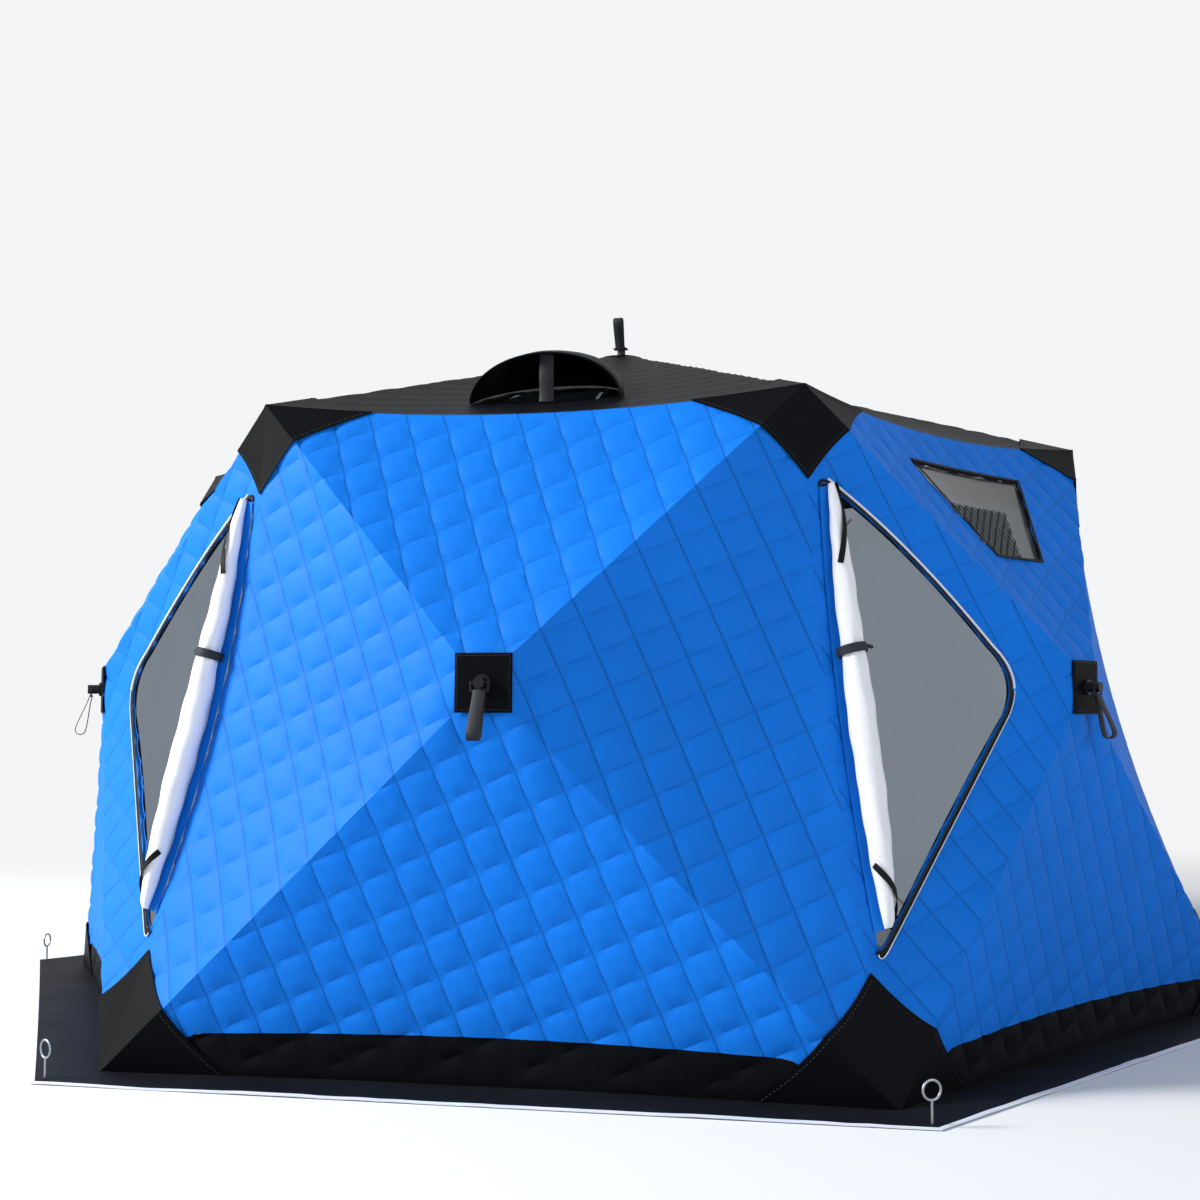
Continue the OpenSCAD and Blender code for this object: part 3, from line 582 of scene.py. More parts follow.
def woven(name, base, spacing, depth, rough, shine, low=0.82, high=1.12, stitch_and_seam_shade=False, glow=0.0):
    """Woven cloth: threads across each other, slow unevenness of dye and dust.

    The spacing is a few times the real threads', which would be too fine to see.
    """
    # A glow above zero makes the cloth light itself: painted light, which only the grey lining uses
    material, tree, shader = surface(name, Roughness=rough, Specular_IOR_Level=shine,
                                     Emission_Color=rgba(base), Emission_Strength=glow)
    place = add(tree, "ShaderNodeTexCoord").outputs["Object"]
    weave = add(tree, "ShaderNodeTexVoronoi", {"Vector": place, "Scale": 1 / spacing, "Randomness": 0.35},
                distance="CHEBYCHEV")
    dust = add(tree, "ShaderNodeTexNoise", {"Vector": place, "Scale": 2.3, "Detail": 6, "Roughness": 0.62})
    uneven = add(tree, "ShaderNodeMapRange",
                 {"Value": dust.outputs["Fac"], "From Min": 0.3, "From Max": 0.7})
    shade = add(tree, "ShaderNodeMix",
                {"Factor": uneven.outputs[0], 6: rgba(base, low), 7: rgba(base, high)},
                data_type="RGBA").outputs[2]
    fine = add(tree, "ShaderNodeMapRange", {"Value": weave.outputs["Distance"], "From Max": 0.6,
                                            "To Min": 1.05, "To Max": 0.86})
    shade = add(tree, "ShaderNodeMix", {"Factor": 1.0, 6: shade, 7: fine.outputs[0]},
                data_type="RGBA", blend_type="MULTIPLY").outputs[2]
    height = weave.outputs["Distance"]
    if stitch_and_seam_shade:
        # The machine stitches that hold the padding lie in the quilting seams. The seams are darkened:
        # partly the stitches' own line, partly painted shade in the sewn-down creases, fuller along the
        # steep seams (X) than the gentle ones (Y)
        squares = add(tree, "ShaderNodeUVMap", uv_map="Quilt")
        split = add(tree, "ShaderNodeSeparateXYZ", {0: squares.outputs[0]})
        lines = []
        for axis, share in (("X", 1.0), ("Y", 0.4)):
            away = add(tree, "ShaderNodeMath", {0: split.outputs[axis], 1: 1.0}, operation="PINGPONG")
            near = add(tree, "ShaderNodeMath", {0: away.outputs[0], 1: 0.5}, operation="PINGPONG")
            line = add(tree, "ShaderNodeMapRange", {"Value": near.outputs[0], "From Min": 0.014,
                                                    "From Max": 0.042, "To Min": share, "To Max": 0})
            lines.append(line.outputs[0])
        seam = add(tree, "ShaderNodeMath", {0: lines[0], 1: lines[1]}, operation="MAXIMUM")
        seam_shade = add(tree, "ShaderNodeMapRange", {"Value": seam.outputs[0], "To Min": 1, "To Max": 0.66})
        shade = add(tree, "ShaderNodeMix", {"Factor": 1.0, 6: shade, 7: seam_shade.outputs[0]},
                    data_type="RGBA", blend_type="MULTIPLY").outputs[2]
    tree.links.new(shade, shader.inputs["Base Color"])
    bump = add(tree, "ShaderNodeBump", {"Height": height, "Strength": 0.35, "Distance": depth})
    tree.links.new(bump.outputs[0], shader.inputs["Normal"])
    return material


MOULD_GRAIN = 0.0012 # size of the grain that the mould leaves, a little coarser than real


def moulded(name, base, rough, **values):
    """Moulded plastic with a fine grain from the mould."""
    material, tree, shader = surface(name, Roughness=rough, **values)
    place = add(tree, "ShaderNodeTexCoord").outputs["Object"]
    noise = add(tree, "ShaderNodeTexNoise", {"Vector": place, "Scale": 1 / MOULD_GRAIN, "Detail": 3})
    slow = add(tree, "ShaderNodeTexNoise", {"Vector": place, "Scale": 18, "Detail": 4})
    shade = add(tree, "ShaderNodeMix",
                {"Factor": slow.outputs["Fac"], 6: rgba(base, 0.8), 7: rgba(base, 1.25)},
                data_type="RGBA")
    tree.links.new(shade.outputs[2], shader.inputs["Base Color"])
    worn = add(tree, "ShaderNodeMapRange", {"Value": slow.outputs["Fac"], "To Min": rough - 0.1,
                                            "To Max": rough + 0.12})
    tree.links.new(worn.outputs[0], shader.inputs["Roughness"])
    bump = add(tree, "ShaderNodeBump",
               {"Height": noise.outputs["Fac"], "Strength": 0.25, "Distance": 0.0004})
    tree.links.new(bump.outputs[0], shader.inputs["Normal"])
    return material


def zinc(name, base):
    """Zinc-plated wire: dull bright metal with a mottled passivated coat."""
    material, tree, shader = surface(name, Metallic=1.0, Roughness=0.38)
    place = add(tree, "ShaderNodeTexCoord").outputs["Object"]
    spots = add(tree, "ShaderNodeTexNoise", {"Vector": place, "Scale": 130, "Detail": 5})
    shade = add(tree, "ShaderNodeMix",
                {"Factor": spots.outputs["Fac"], 6: rgba(base, 0.7), 7: rgba(base, 1.2)},
                data_type="RGBA")
    tree.links.new(shade.outputs[2], shader.inputs["Base Color"])
    worn = add(tree, "ShaderNodeMapRange", {"Value": spots.outputs["Fac"], "To Min": 0.28, "To Max": 0.5})
    tree.links.new(worn.outputs[0], shader.inputs["Roughness"])
    return material


def drawn_rod(name, base):
    """Pultruded glass fibre: pale resin with long thin streaks of fibre under a gloss skin."""
    material, tree, shader = surface(name, Roughness=0.3, Coat_Weight=0.4, Coat_Roughness=0.2)
    place = add(tree, "ShaderNodeTexCoord").outputs["Object"]
    streaks = add(tree, "ShaderNodeTexNoise",
                  {"Vector": place, "Scale": 220, "Detail": 4, "Distortion": 1.5})
    shade = add(tree, "ShaderNodeMix",
                {"Factor": streaks.outputs["Fac"], 6: rgba(base, 0.75), 7: rgba(base, 1.1)},
                data_type="RGBA")
    tree.links.new(shade.outputs[2], shader.inputs["Base Color"])
    return material


def clear_sheet(name, base):
    """Clear flexible vinyl, a little hazy from cold and folding."""
    material, tree, shader = surface(name, Roughness=0.18, IOR=1.5, Transmission_Weight=0.85,
                                     Specular_IOR_Level=0.12)
    place = add(tree, "ShaderNodeTexCoord").outputs["Object"]
    haze = add(tree, "ShaderNodeTexNoise", {"Vector": place, "Scale": 9, "Detail": 5, "Distortion": 0.6})
    shade = add(tree, "ShaderNodeMix",
                {"Factor": haze.outputs["Fac"], 6: rgba(base, 0.85), 7: rgba(base, 1.2)},
                data_type="RGBA")
    tree.links.new(shade.outputs[2], shader.inputs["Base Color"])
    rough = add(tree, "ShaderNodeMapRange", {"Value": haze.outputs["Fac"], "To Min": 0.08, "To Max": 0.3})
    tree.links.new(rough.outputs[0], shader.inputs["Roughness"])
    folds = add(tree, "ShaderNodeBump", {"Height": haze.outputs["Fac"], "Strength": 0.3, "Distance": 0.004})
    tree.links.new(folds.outputs[0], shader.inputs["Normal"])
    return material


def finishes():
    """All finishes of the hut, made once."""
    c = bpy.context.scene.hut_colours
    if "Quilted blue polyester" not in bpy.data.materials:
        # Quilted polyester with a water-repellent face: satin blue, darker where it is sewn down, partly
        # from the stitches and partly as painted shade in the seams
        woven("Quilted blue polyester", c.blue, 0.0035, 0.0004, 0.58, 0.10, 0.93, 1.06, stitch_and_seam_shade=True)
        # The same cloth without padding, beside the rolled flap: flat, and darker by about a tenth as
        # painted shade on that strip beside the roll
        woven("Plain blue polyester", c.blue, 0.0035, 0.0004, 0.58, 0.10, 0.85, 1.0)
        # Black quilted polyester: deep and nearly without shine, so dust and relief show; its seams carry
        # the same painted shade as the blue
        woven("Quilted black polyester", c.black, 0.0035, 0.0004, 0.55, 0.05, 0.75, 1.3, stitch_and_seam_shade=True)
        # Heavy coated polyester: a coarser weave, dull black, slightly dusty
        woven("Coated patch cloth", c.patch, 0.0045, 0.0005, 0.5, 0.04, 0.7, 1.4)
        # The skirt's coated cloth: rougher and dustier, from lying on the ground
        woven("Coated skirt cloth", c.skirt, 0.0045, 0.0006, 0.6, 0.05, 0.6, 1.7)
        # Coated lining: plain and matt; it glows a little by itself, painted light that brightens the inside
        # seen through the doorways
        woven("Coated grey lining", c.lining, 0.004, 0.0003, 0.6, 0.15, 0.9, 1.05, glow=0.23)
        # The flap's lining: clean, even white with a soft satin
        woven("Coated white lining", c.flap, 0.004, 0.0003, 0.5, 0.25, 0.95, 1.0)
        # Nylon webbing: a deep dark weave with worn, lighter threads
        woven("Nylon webbing", c.webbing, 0.0028, 0.0009, 0.6, 0.2, 0.7, 1.35)
        # Woven zip tape: matt black, with its weave just showing
        woven("Zip tape", c.zip, 0.002, 0.0004, 0.6, 0.12, 0.7, 1.5)
        # Cloth piping: a thin bright line, nearly even
        woven("Piping cloth", c.piping, 0.0022, 0.0003, 0.5, 0.2, 0.93, 1.02)
        # Knitted netting: thin black strands without shine
        woven("Window netting", c.nylon, 0.002, 0.0003, 0.6, 0.05)
        # Woven cover cloth: dark brown, seen dimly through the sheet
        woven("Window cover cloth", c.cover, 0.003, 0.0003, 0.6, 0.08)
        # Spun polyester thread: short dark grey dashes on black
        woven("Sewing thread", c.thread, 0.002, 0.0002, 0.5, 0.2)
        # Stiffened webbing of the vent's prop: nearly black, a little brighter than the hood
        woven("Prop webbing", c.prop, 0.0028, 0.0006, 0.55, 0.2)
        # Injection-moulded nylon: black with a fine grain and soft highlights
        moulded("Moulded black nylon", c.nylon, 0.45, Specular_IOR_Level=0.25)
        # Moulded zip coil: smoother than the tape, so the teeth catch the light
        moulded("Moulded zip coil", c.zip, 0.35)
        # Pultruded rod: pale resin with long streaks under a thin gloss
        drawn_rod("Pultruded glass fibre", c.rod)
        # Calendered vinyl sheet: dim grey and slightly hazy
        clear_sheet("Clear vinyl", c.vinyl)
        # Zinc-plated wire: dull bright, mottled metal
        zinc("Zinc-plated wire", c.wire)
    return lambda name: bpy.data.materials[name]


# Pieces

def sizes():
    return bpy.context.scene.hut_sizes


def declare(obj, nodes=()):
    """Gives a finished piece its place in the frame."""
    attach(obj, "root")
    if nodes:
        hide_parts(*nodes)
    return obj


def outline_of(*runs):
    return np.array([p for run in runs for p in run])


def wall_outline(form):
    w, n = form.wall, 48
    vs = np.linspace(0, 1, n + 1)[:-1]
    top = [side_point(w, 0, v)[[0, 2]] for v in vs]
    right = [side_point(w, 1, v)[[0, 2]] for v in vs]
    reach = form.s.hub_height - form.flat
    low = [panel_point(w, 2, v, 1 - form.band(v) / reach)[[0, 2]] for v in vs]
    left = [side_point(w, 3, v)[[0, 2]] for v in vs]
    return outline_of(top, right, low, left)


def wall_creases(form):
    f, mid, s = form.flat, form.s.hub_height, form.s
    lines = [((0, mid + f), (0, 1)), ((0, mid - f), (0, 1)), ((f, mid), (1, 0)), ((-f, mid), (1, 0))]
    for sign in (-1, 1):
        for half, z, edge in ((form.top, s.wall_height, f), (form.base, 0, -f)):
            way = np.array((sign * (half - f), z - mid - edge))
            lines.append(((sign * f, mid + edge), (-way[1], way[0])))
    return lines


def wall_place(form, points, outer, uv, seed):
    """Puts a cut plate's points on the wall's face, puffed between the quilting seams."""
    s = form.s
    x, z = points[:, 0], points[:, 1]
    y, kind, t = form.wall_at(x, z)
    edge = np.minimum(1 - t, 1) * (form.top - form.flat) * np.where(kind < 0, 5, 1)
    calm = soften(edge, SEAM_CALM)
    wave = 0.5 + 0.5 * ripples(np.stack((x, z), 1) * 2.2, seed)
    depth = calm * (s.puff * (1 - puffs(uv)) + WALL_WAVE * wave) + EDGE_SINK * (1 - soften(edge, EDGE_REACH))
    half = np.abs(form.seam(np.clip(z, 0, s.wall_height)))
    inner_x = x * (1 - math.tan(HALF_TURN) * THICK / half)
    inner_z = z - THICK * np.clip((z - s.hub_height) / (s.wall_height - s.hub_height), 0, 1)
    flat = np.stack((x, y + depth, z), 1)
    lining = np.stack((inner_x, y + THICK, inner_z), 1)
    return np.where(outer[:, None], flat, lining)


class HUT_OT_walls(bpy.types.Operator):
    """Makes the six quilted walls with their doorways and windows"""
    bl_idname = "hut.walls"
    bl_label = "Quilted walls"

    def execute(self, context):
        form, get = Form(sizes()), finishes()
        turn = form.s.quilt_turn
        outline, creases = wall_outline(form), wall_creases(form)
        stem = form.stem_hole((0, form.s.hub_height))
        plain = plate(form, outline, [stem], creases, turn)
        open_door = plate(form, outline, [stem, form.door(), form.window()], creases, turn)
        for name, n in WALLS.items():
            doors = name in ("front_right", "front_left")
            flat = open_door if doors else plain
            uv = quilt_uv(flat_points(flat), form, turn)
            mirrored = name == "front_left"
            steps = 1 if mirrored else n
            make = lambda points, outer: turned(wall_place(form, points, outer, uv, n), steps, mirrored)
            obj = quilted(name + "_quilted_wall", flat, make, uv,
                          (get("Quilted blue polyester"), get("Coated grey lining"), get("Zip tape")),
                          mirrored)
            declare(obj, [name + "_wall"])
        return {"FINISHED"}


def black_cloths(get):
    """Outer face, inner face and rim of the black quilted cloth."""
    return get("Quilted black polyester"), get("Coated skirt cloth"), get("Zip tape")


class HUT_OT_roof(bpy.types.Operator):
    """Makes the quilted roof"""
    bl_idname = "hut.roof"
    bl_label = "Quilted roof"

    def execute(self, context):
        form, get = Form(sizes()), finishes()
        s = form.s
        r = form.roof
        shares = np.linspace(0, 1, 41)[:-1]
        outline = outline_of(*[[side_point(r, k, v)[:2] for v in shares] for k in range(SIDES)])
        creases = []
        for k in range(3):
            a = HALF_TURN + k * TURN
            creases.append(((0, 0), (-math.sin(a), math.cos(a))))
        for k in range(SIDES):
            a = k * TURN - math.pi / 2
            creases.append(((form.flat * math.cos(a), form.flat * math.sin(a)), (math.cos(a), math.sin(a))))
        front, back = (-s.vent_front + gap for gap in VENT_HOLE)
        half = VENT_HOLE_HALF
        hole = np.array([(-half, front), (half, front), (half, back), (-half, back)])
        turn = ROOF_QUILT_TURN
        flat = plate(form, outline, [hole, form.stem_hole((0, 0))], creases, turn)
        uv = quilt_uv(flat_points(flat), form, turn)

        def place(points, outer):
            x, y = points[:, 0], points[:, 1]
            z, t = form.roof_at(x, y)
            edge = (1 - t) * (form.top_out - form.flat)
            calm = soften(edge, SEAM_CALM)
            wave = 0.5 + 0.5 * ripples(points[:, :2] * 1.6, 5)
            depth = calm * (ROOF_PUFF * s.puff * (1 - puffs(uv)) + ROOF_WAVE * wave)
            depth += EDGE_SINK * (1 - soften(edge, EDGE_REACH))
            scale = 1 - THICK / form.top_out
            upper = np.stack((x, y, z - depth), 1)
            lower = np.stack((x * scale, y * scale, z - THICK), 1)
            return np.where(outer[:, None], upper, lower)

        obj = quilted("quilted_roof", flat, place, uv, black_cloths(get))
        declare(obj, ["roof"])
        return {"FINISHED"}


class HUT_OT_band(bpy.types.Operator):
    """Makes the black lower band around the foot of the walls"""
    bl_idname = "hut.band"
    bl_label = "Lower band"

    def execute(self, context):
        form, get = Form(sizes()), finishes()
        s, w = form.s, form.wall
        turn = s.quilt_turn
        reach = s.hub_height - form.flat
        vs = np.linspace(0.004, 0.996, 80)
        upper = [panel_point(w, 2, v, 1 - form.band(v) / reach)[[0, 2]] for v in vs]
        lower = [side_point(w, 2, v)[[0, 2]] for v in vs[::-1]]
        flat = plate(form, outline_of(upper, lower), [], [], turn)
        uv = quilt_uv(flat_points(flat), form, turn)
        strips = []
        for n in range(SIDES):
            make = lambda points, outer: turned(wall_place(form, points, outer, uv, n), n)
            strips.append(quilted("strip", flat, make, uv, black_cloths(get)))
        with bpy.context.temp_override(active_object=strips[0], selected_editable_objects=strips):
            bpy.ops.object.join()
        obj = strips[0]
        obj.name = obj.data.name = "quilted_lower_band"
        declare(obj, ["lower_band"])
        return {"FINISHED"}


# Stitches, teeth and piping: what repeats along a line or follows it

def socketed(tree, *sockets):
    """Adds named inputs to a geometry tree, with the geometry first."""
    tree.interface.new_socket("Geometry", in_out="INPUT", socket_type="NodeSocketGeometry")
    for name, kind, default in sockets:
        made = tree.interface.new_socket(name, in_out="INPUT", socket_type=kind)
        if default is not None:
            made.default_value = default
    tree.interface.new_socket("Geometry", in_out="OUTPUT", socket_type="NodeSocketGeometry")


def stitch_row():
    """Geometry tree: small rounded bodies in a row along each line, flat on its 'up' directions."""
    tree = bpy.data.node_groups.get("Stitch row")
    if tree:
        return tree
    tree = bpy.data.node_groups.new("Stitch row", "GeometryNodeTree")
    socketed(tree, ("Pitch", "NodeSocketFloat", 0.01), ("Size", "NodeSocketVector", (0.006, 0.0015, 0.0015)),
             ("Material", "NodeSocketMaterial", None))
    given = add(tree, "NodeGroupInput").outputs
    curve = add(tree, "GeometryNodeMeshToCurve", {0: given["Geometry"]})
    even = add(tree, "GeometryNodeResampleCurve",
               {0: curve.outputs[0], "Length": given["Pitch"]}, mode="LENGTH")
    up = add(tree, "GeometryNodeInputNamedAttribute", {"Name": "up"}, data_type="FLOAT_VECTOR")
    ahead = add(tree, "GeometryNodeInputTangent")
    turn = add(tree, "FunctionNodeAxesToRotation",
               {"Primary Axis": up.outputs["Attribute"], "Secondary Axis": ahead.outputs[0]},
               primary_axis="Z", secondary_axis="X")
    body = add(tree, "GeometryNodeMeshUVSphere", {"Segments": 6, "Rings": 4, "Radius": 0.5})
    put = add(tree, "GeometryNodeInstanceOnPoints",
              {"Points": even.outputs[0], "Instance": body.outputs[0], "Rotation": turn.outputs[0],
               "Scale": given["Size"]})
    real = add(tree, "GeometryNodeRealizeInstances", {0: put.outputs[0]})
    done = add(tree, "GeometryNodeSetMaterial", {"Geometry": real.outputs[0], "Material": given["Material"]})
    add(tree, "NodeGroupOutput", {0: done.outputs[0]})
    return tree


def piping_tree():
    """Geometry tree: a round cord along each line."""
    tree = bpy.data.node_groups.get("Piping")
    if tree:
        return tree
    tree = bpy.data.node_groups.new("Piping", "GeometryNodeTree")
    socketed(tree, ("Radius", "NodeSocketFloat", 0.0025), ("Material", "NodeSocketMaterial", None))
    given = add(tree, "NodeGroupInput").outputs
    curve = add(tree, "GeometryNodeMeshToCurve", {0: given["Geometry"]})
    ring = add(tree, "GeometryNodeCurvePrimitiveCircle", {"Resolution": 8, "Radius": given["Radius"]})
    tube = add(tree, "GeometryNodeCurveToMesh",
               {"Curve": curve.outputs[0], "Profile Curve": ring.outputs[0], "Fill Caps": True})
    real = add(tree, "GeometryNodeRealizeInstances", {0: tube.outputs[0]})
    done = add(tree, "GeometryNodeSetMaterial", {"Geometry": real.outputs[0], "Material": given["Material"]})
    add(tree, "NodeGroupOutput", {0: done.outputs[0]})
    return tree


def along_lines(name, lines, tree, **inputs):
    """Runs a geometry tree over polylines of (points, ups) and returns the plain piece."""
    points, ups, edges = [], [], []
    for line, up in lines:
        start = len(points)
        points += [tuple(p) for p in line]
        ups += [tuple(u) for u in up]
        edges += [(start + i, start + i + 1) for i in range(len(line) - 1)]
    mesh = bpy.data.meshes.new(name)
    mesh.from_pydata(points, edges, [])
    mesh.attributes.new("up", "FLOAT_VECTOR", "POINT").data.foreach_set("vector", np.array(ups).ravel())
    obj = new_object(name, mesh)
    step = obj.modifiers.new("tree", "NODES")
    step.node_group = tree
    for item in tree.interface.items_tree:
        if item.in_out == "INPUT" and item.name in inputs:
            step[item.identifier] = inputs[item.name]
    made = bpy.data.meshes.new_from_object(obj.evaluated_get(bpy.context.evaluated_depsgraph_get()))
    obj.modifiers.clear()
    obj.data = made
    made.name = name
    bpy.data.meshes.remove(mesh)
    if "up" in made.attributes:
        made.attributes.remove(made.attributes["up"])
    smooth(obj, 50)
    return obj


def on_wall(form, places, lift):
    """Points lifted off the front wall's face at places x, z, and the face's outward directions."""
    x, z = np.asarray(places)[:, 0], np.asarray(places)[:, 1]
    e = 0.002
    y = form.wall_at(x, z)[0]
    dx = (form.wall_at(x + e, z)[0] - form.wall_at(x - e, z)[0]) / (2 * e)
    dz = (form.wall_at(x, z + e)[0] - form.wall_at(x, z - e)[0]) / (2 * e)
    up = np.stack((dx, -np.ones_like(dx), dz), 1)
    up /= np.linalg.norm(up, axis=1)[:, None]
    return np.stack((x, y, z), 1) + up * lift, up


DOOR_SIDES = (("right", False), ("left", True))


def at_side(points, mirrored):
    """Takes the front wall's points to the right door wall, or mirrored to the left one."""
    return turned(points, 1, mirrored)


# Corner patches

PATCH_N = 14         # mesh steps along a corner patch's edge


def patch_flap(form, panel, k, at_v, along, ridge, ground=False):
    """One three-sided part of a corner patch: row i runs from its tip to the ridge."""
    rows = []
    for i in range(PATCH_N + 1):
        share = along * (1 - i / PATCH_N)
        v = share if at_v == 0 else 1 - share
        rows.append([(panel_point(panel, k, v, 1 - ridge * j / PATCH_N), inward(panel, k, v, j == 0))
                     for j in range(i + 1)])
    lifts = (form.s.patch_lift, 0.0006)
    points = np.array([p - way * lift for lift in lifts for row in rows for p, way in row])
    half = len(points) // 2
    at = lambda i, j, layer=0: layer * half + i * (i + 1) // 2 + j
    faces = []
    for i in range(PATCH_N):
        for j in range(i + 1):
            corners = [(i, j), (i + 1, j), (i + 1, j + 1)] + ([(i, j + 1)] if j < i else [])
            faces += [tuple(at(a, b) for a, b in corners), tuple(at(a, b, 1) for a, b in reversed(corners))]
        faces.append((at(i, i), at(i + 1, i + 1), at(i + 1, i + 1, 1), at(i, i, 1)))
        if ground:
            faces.append((at(i, 0), at(i + 1, 0), at(i + 1, 0, 1), at(i, 0, 1)))
    seam = []
    for i in range(1, PATCH_N + 1):
        v = along * (1 - i / PATCH_N)
        point = panel_point(panel, k, v if at_v == 0 else 1 - v, 1 - ridge * (i - 0.8) / PATCH_N)
        seam.append(point - panel[3] * (form.s.patch_lift + 0.0003))
    return (points, faces), (np.array(seam), np.tile(-panel[3], (len(seam), 1)))


def across_seam(points):
    """Mirrors points in the upright plane through the front-left corner seam."""
    n = np.array((math.sin(TURN * 2), -math.cos(TURN), 0))
    return points - 2 * (points @ n)[:, None] * n


class HUT_OT_patches(bpy.types.Operator):
    """Makes the black corner patches at the top corners and the feet"""
    bl_idname = "hut.patches"
    bl_label = "Corner patches"

    def execute(self, context):
        form, get = Form(sizes()), finishes()
        s, w, r = form.s, form.wall, form.roof
        length_of = lambda a, b: float(np.linalg.norm(a - b))
        eave, seam = length_of(w[0][1], w[0][0]), length_of(w[0][2], w[0][1])
        high, low = length_of(w[0][0], w[2][0]), length_of(w[0][3], w[2][3])
        rafter = length_of(r[0][1], r[2][1])
        tops = [patch_flap(form, w, 3, 1, s.patch_seam / seam, s.patch_ridge / high),
                patch_flap(form, w, 0, 0, s.patch_eave / eave, s.patch_ridge / high),
                patch_flap(form, r, 0, 1, s.patch_eave / eave, s.patch_ridge / rafter)]
        feet = [patch_flap(form, w, 3, 0, s.boot_seam / seam, s.boot_ridge / low),
                patch_flap(form, w, 2, 1, s.boot_ground / s.base_width, s.boot_ridge / low, ground=True)]
        stitches = []
        for kind, flaps in (("top_corner", tops), ("foot", feet)):
            for n, corner in enumerate(CORNERS):
                parts = []
                for (points, faces), (line, up) in flaps:
                    for mirror in (False, True):
                        take = lambda p: turned(across_seam(p) if mirror else p, n)
                        parts.append((take(points), faces))
                        stitches.append((take(line), take(up)))
                obj = cloth(corner + "_" + kind + "_patch", parts, (get("Coated patch cloth"),), 24)
                declare(obj, [corner + "_" + kind])
        rows = along_lines("patch_stitches", stitches, stitch_row(), Pitch=0.011,
                           Size=(0.008, 0.0022, 0.0014), Material=get("Sewing thread"))
        declare(rows)
        return {"FINISHED"}


HEM = 0.012          # width of the skirt's pale hem
HEM_FACES = 0.0125   # faces with their middle nearer to the edge than this are hem
SKIRT_TUCK = 0.0018  # the skirt's inner edge lies this far inside the lower band


class HUT_OT_skirt(bpy.types.Operator):
    """Makes the snow skirt with its pale hem"""
    bl_idname = "hut.skirt"
    bl_label = "Snow skirt"

    def execute(self, context):
        form, get = Form(sizes()), finishes()
        s, n = form.s, 44
        far = (form.base_out + s.skirt_width) / math.cos(HALF_TURN)
        hem = 1 - HEM / s.skirt_width
        shares = list(np.linspace(0, hem - 0.004, 10)) + [hem, 1.0]
        outer = []
        for side in range(SIDES):
            right, left = (np.array((sign * far / 2, -far * math.cos(HALF_TURN), 0)) for sign in (1, -1))
            for v in np.linspace(0, 1, n + 1)[:-1]:
                foot = side_point(form.wall, 2, v) + (form.wall[3] + form.wall[4][2]) * SKIRT_TUCK
                line = [mix(foot, mix(right, left, v), t) for t in shares]
                # clockwise from above, so sides follow each other backwards
                outer.append(turned(line, -side))
        outer = np.array(outer)
        under = outer.copy()
        wave = 0.5 + 0.5 * ripples(outer.reshape(-1, 3)[:, :2] * 2.6, 3).reshape(outer.shape[:2])
        wave += 0.35 * np.abs(ripples(outer.reshape(-1, 3)[:, :2] * 7.0, 8).reshape(outer.shape[:2]))
        loose = np.sin(np.linspace(0.12, 2.7, len(shares)))[None, :]
        lift = 0.0085 * wave * loose
        outer[..., 2], under[..., 2] = 0.0027 + lift, 0.0001 + lift * 0.93
        points, faces = shell_faces(outer, under, closed_i=True)
        obj = cloth("draped_snow_skirt", [(points, faces)],
                    (get("Coated skirt cloth"), get("Piping cloth")), 40)
        reach = form.base_out + s.skirt_width - HEM_FACES
        for polygon in obj.data.polygons:
            x, y, _ = polygon.center
            heading = math.atan2(y, x)
            off = (heading + math.pi / 2 + HALF_TURN) % TURN - HALF_TURN
            if math.hypot(x, y) * math.cos(off) > reach:
                polygon.material_index = 1
        declare(obj, ["snow_skirt"])
        return {"FINISHED"}


DOOR_FINE = 6        # the doorway's bends have points in multiples of this


class HUT_OT_doorways(bpy.types.Operator):
    """Makes the zips and the white piping around the doorways"""
    bl_idname = "hut.doorways"
    bl_label = "Doorway zips"

    def execute(self, context):
        form, get = Form(sizes()), finishes()
        fine = DOOR_FINE
        # Places in the outline: the end of the upper tip's bend, just below the middle of the
        # bend at the doorway's point, and the end of the lower tip's bend
        first, peak, low = 3 * fine, 9 * fine + 2 + int(4.6 * fine), 19 * fine + 3
        along = lambda grow, start, end, lift: on_wall(form, form.door(grow, fine)[start:end], lift)
        zips = (ribbon(*along(0.0078, peak, low, 0.0010), 0.0138, 0.0024),
                ribbon(*along(0.0044, 0, peak + 1, 0.0010), 0.0068, 0.0024))
        teeth_at, teeth_up = along(0.0022, 0, low, 0.0030)
        cord_at, cord_up = along(0.0112, first, peak, 0.0030)
        thin_at, thin_up = along(0.0118, peak, low, 0.0034)
        for side, mirrored in DOOR_SIDES:
            take = lambda p: at_side(p, mirrored)
            obj = cloth(side + "_zip_tape", [(take(p), f) for p, f in zips], (get("Zip tape"),), 35)
            declare(obj, [side + "_door_zip"])
            teeth = along_lines(side + "_zip_teeth", [(take(teeth_at), take(teeth_up))], stitch_row(),
                                Pitch=0.0052, Size=(0.0040, 0.0056, 0.0030),
                                Material=get("Moulded zip coil"))
            declare(teeth)
            cord = along_lines(side + "_door_piping", [(take(cord_at), take(cord_up))], piping_tree(),
                               Radius=0.0036, Material=get("Piping cloth"))
            declare(cord)
            thin = along_lines(side + "_lower_piping", [(take(thin_at), take(thin_up))], piping_tree(),
                               Radius=0.0014, Material=get("Piping cloth"))
            declare(thin)
        return {"FINISHED"}


ROLL_FROM, ROLL_TO = 0.215, 0.845    # the rolled flap runs between these shares of the seam


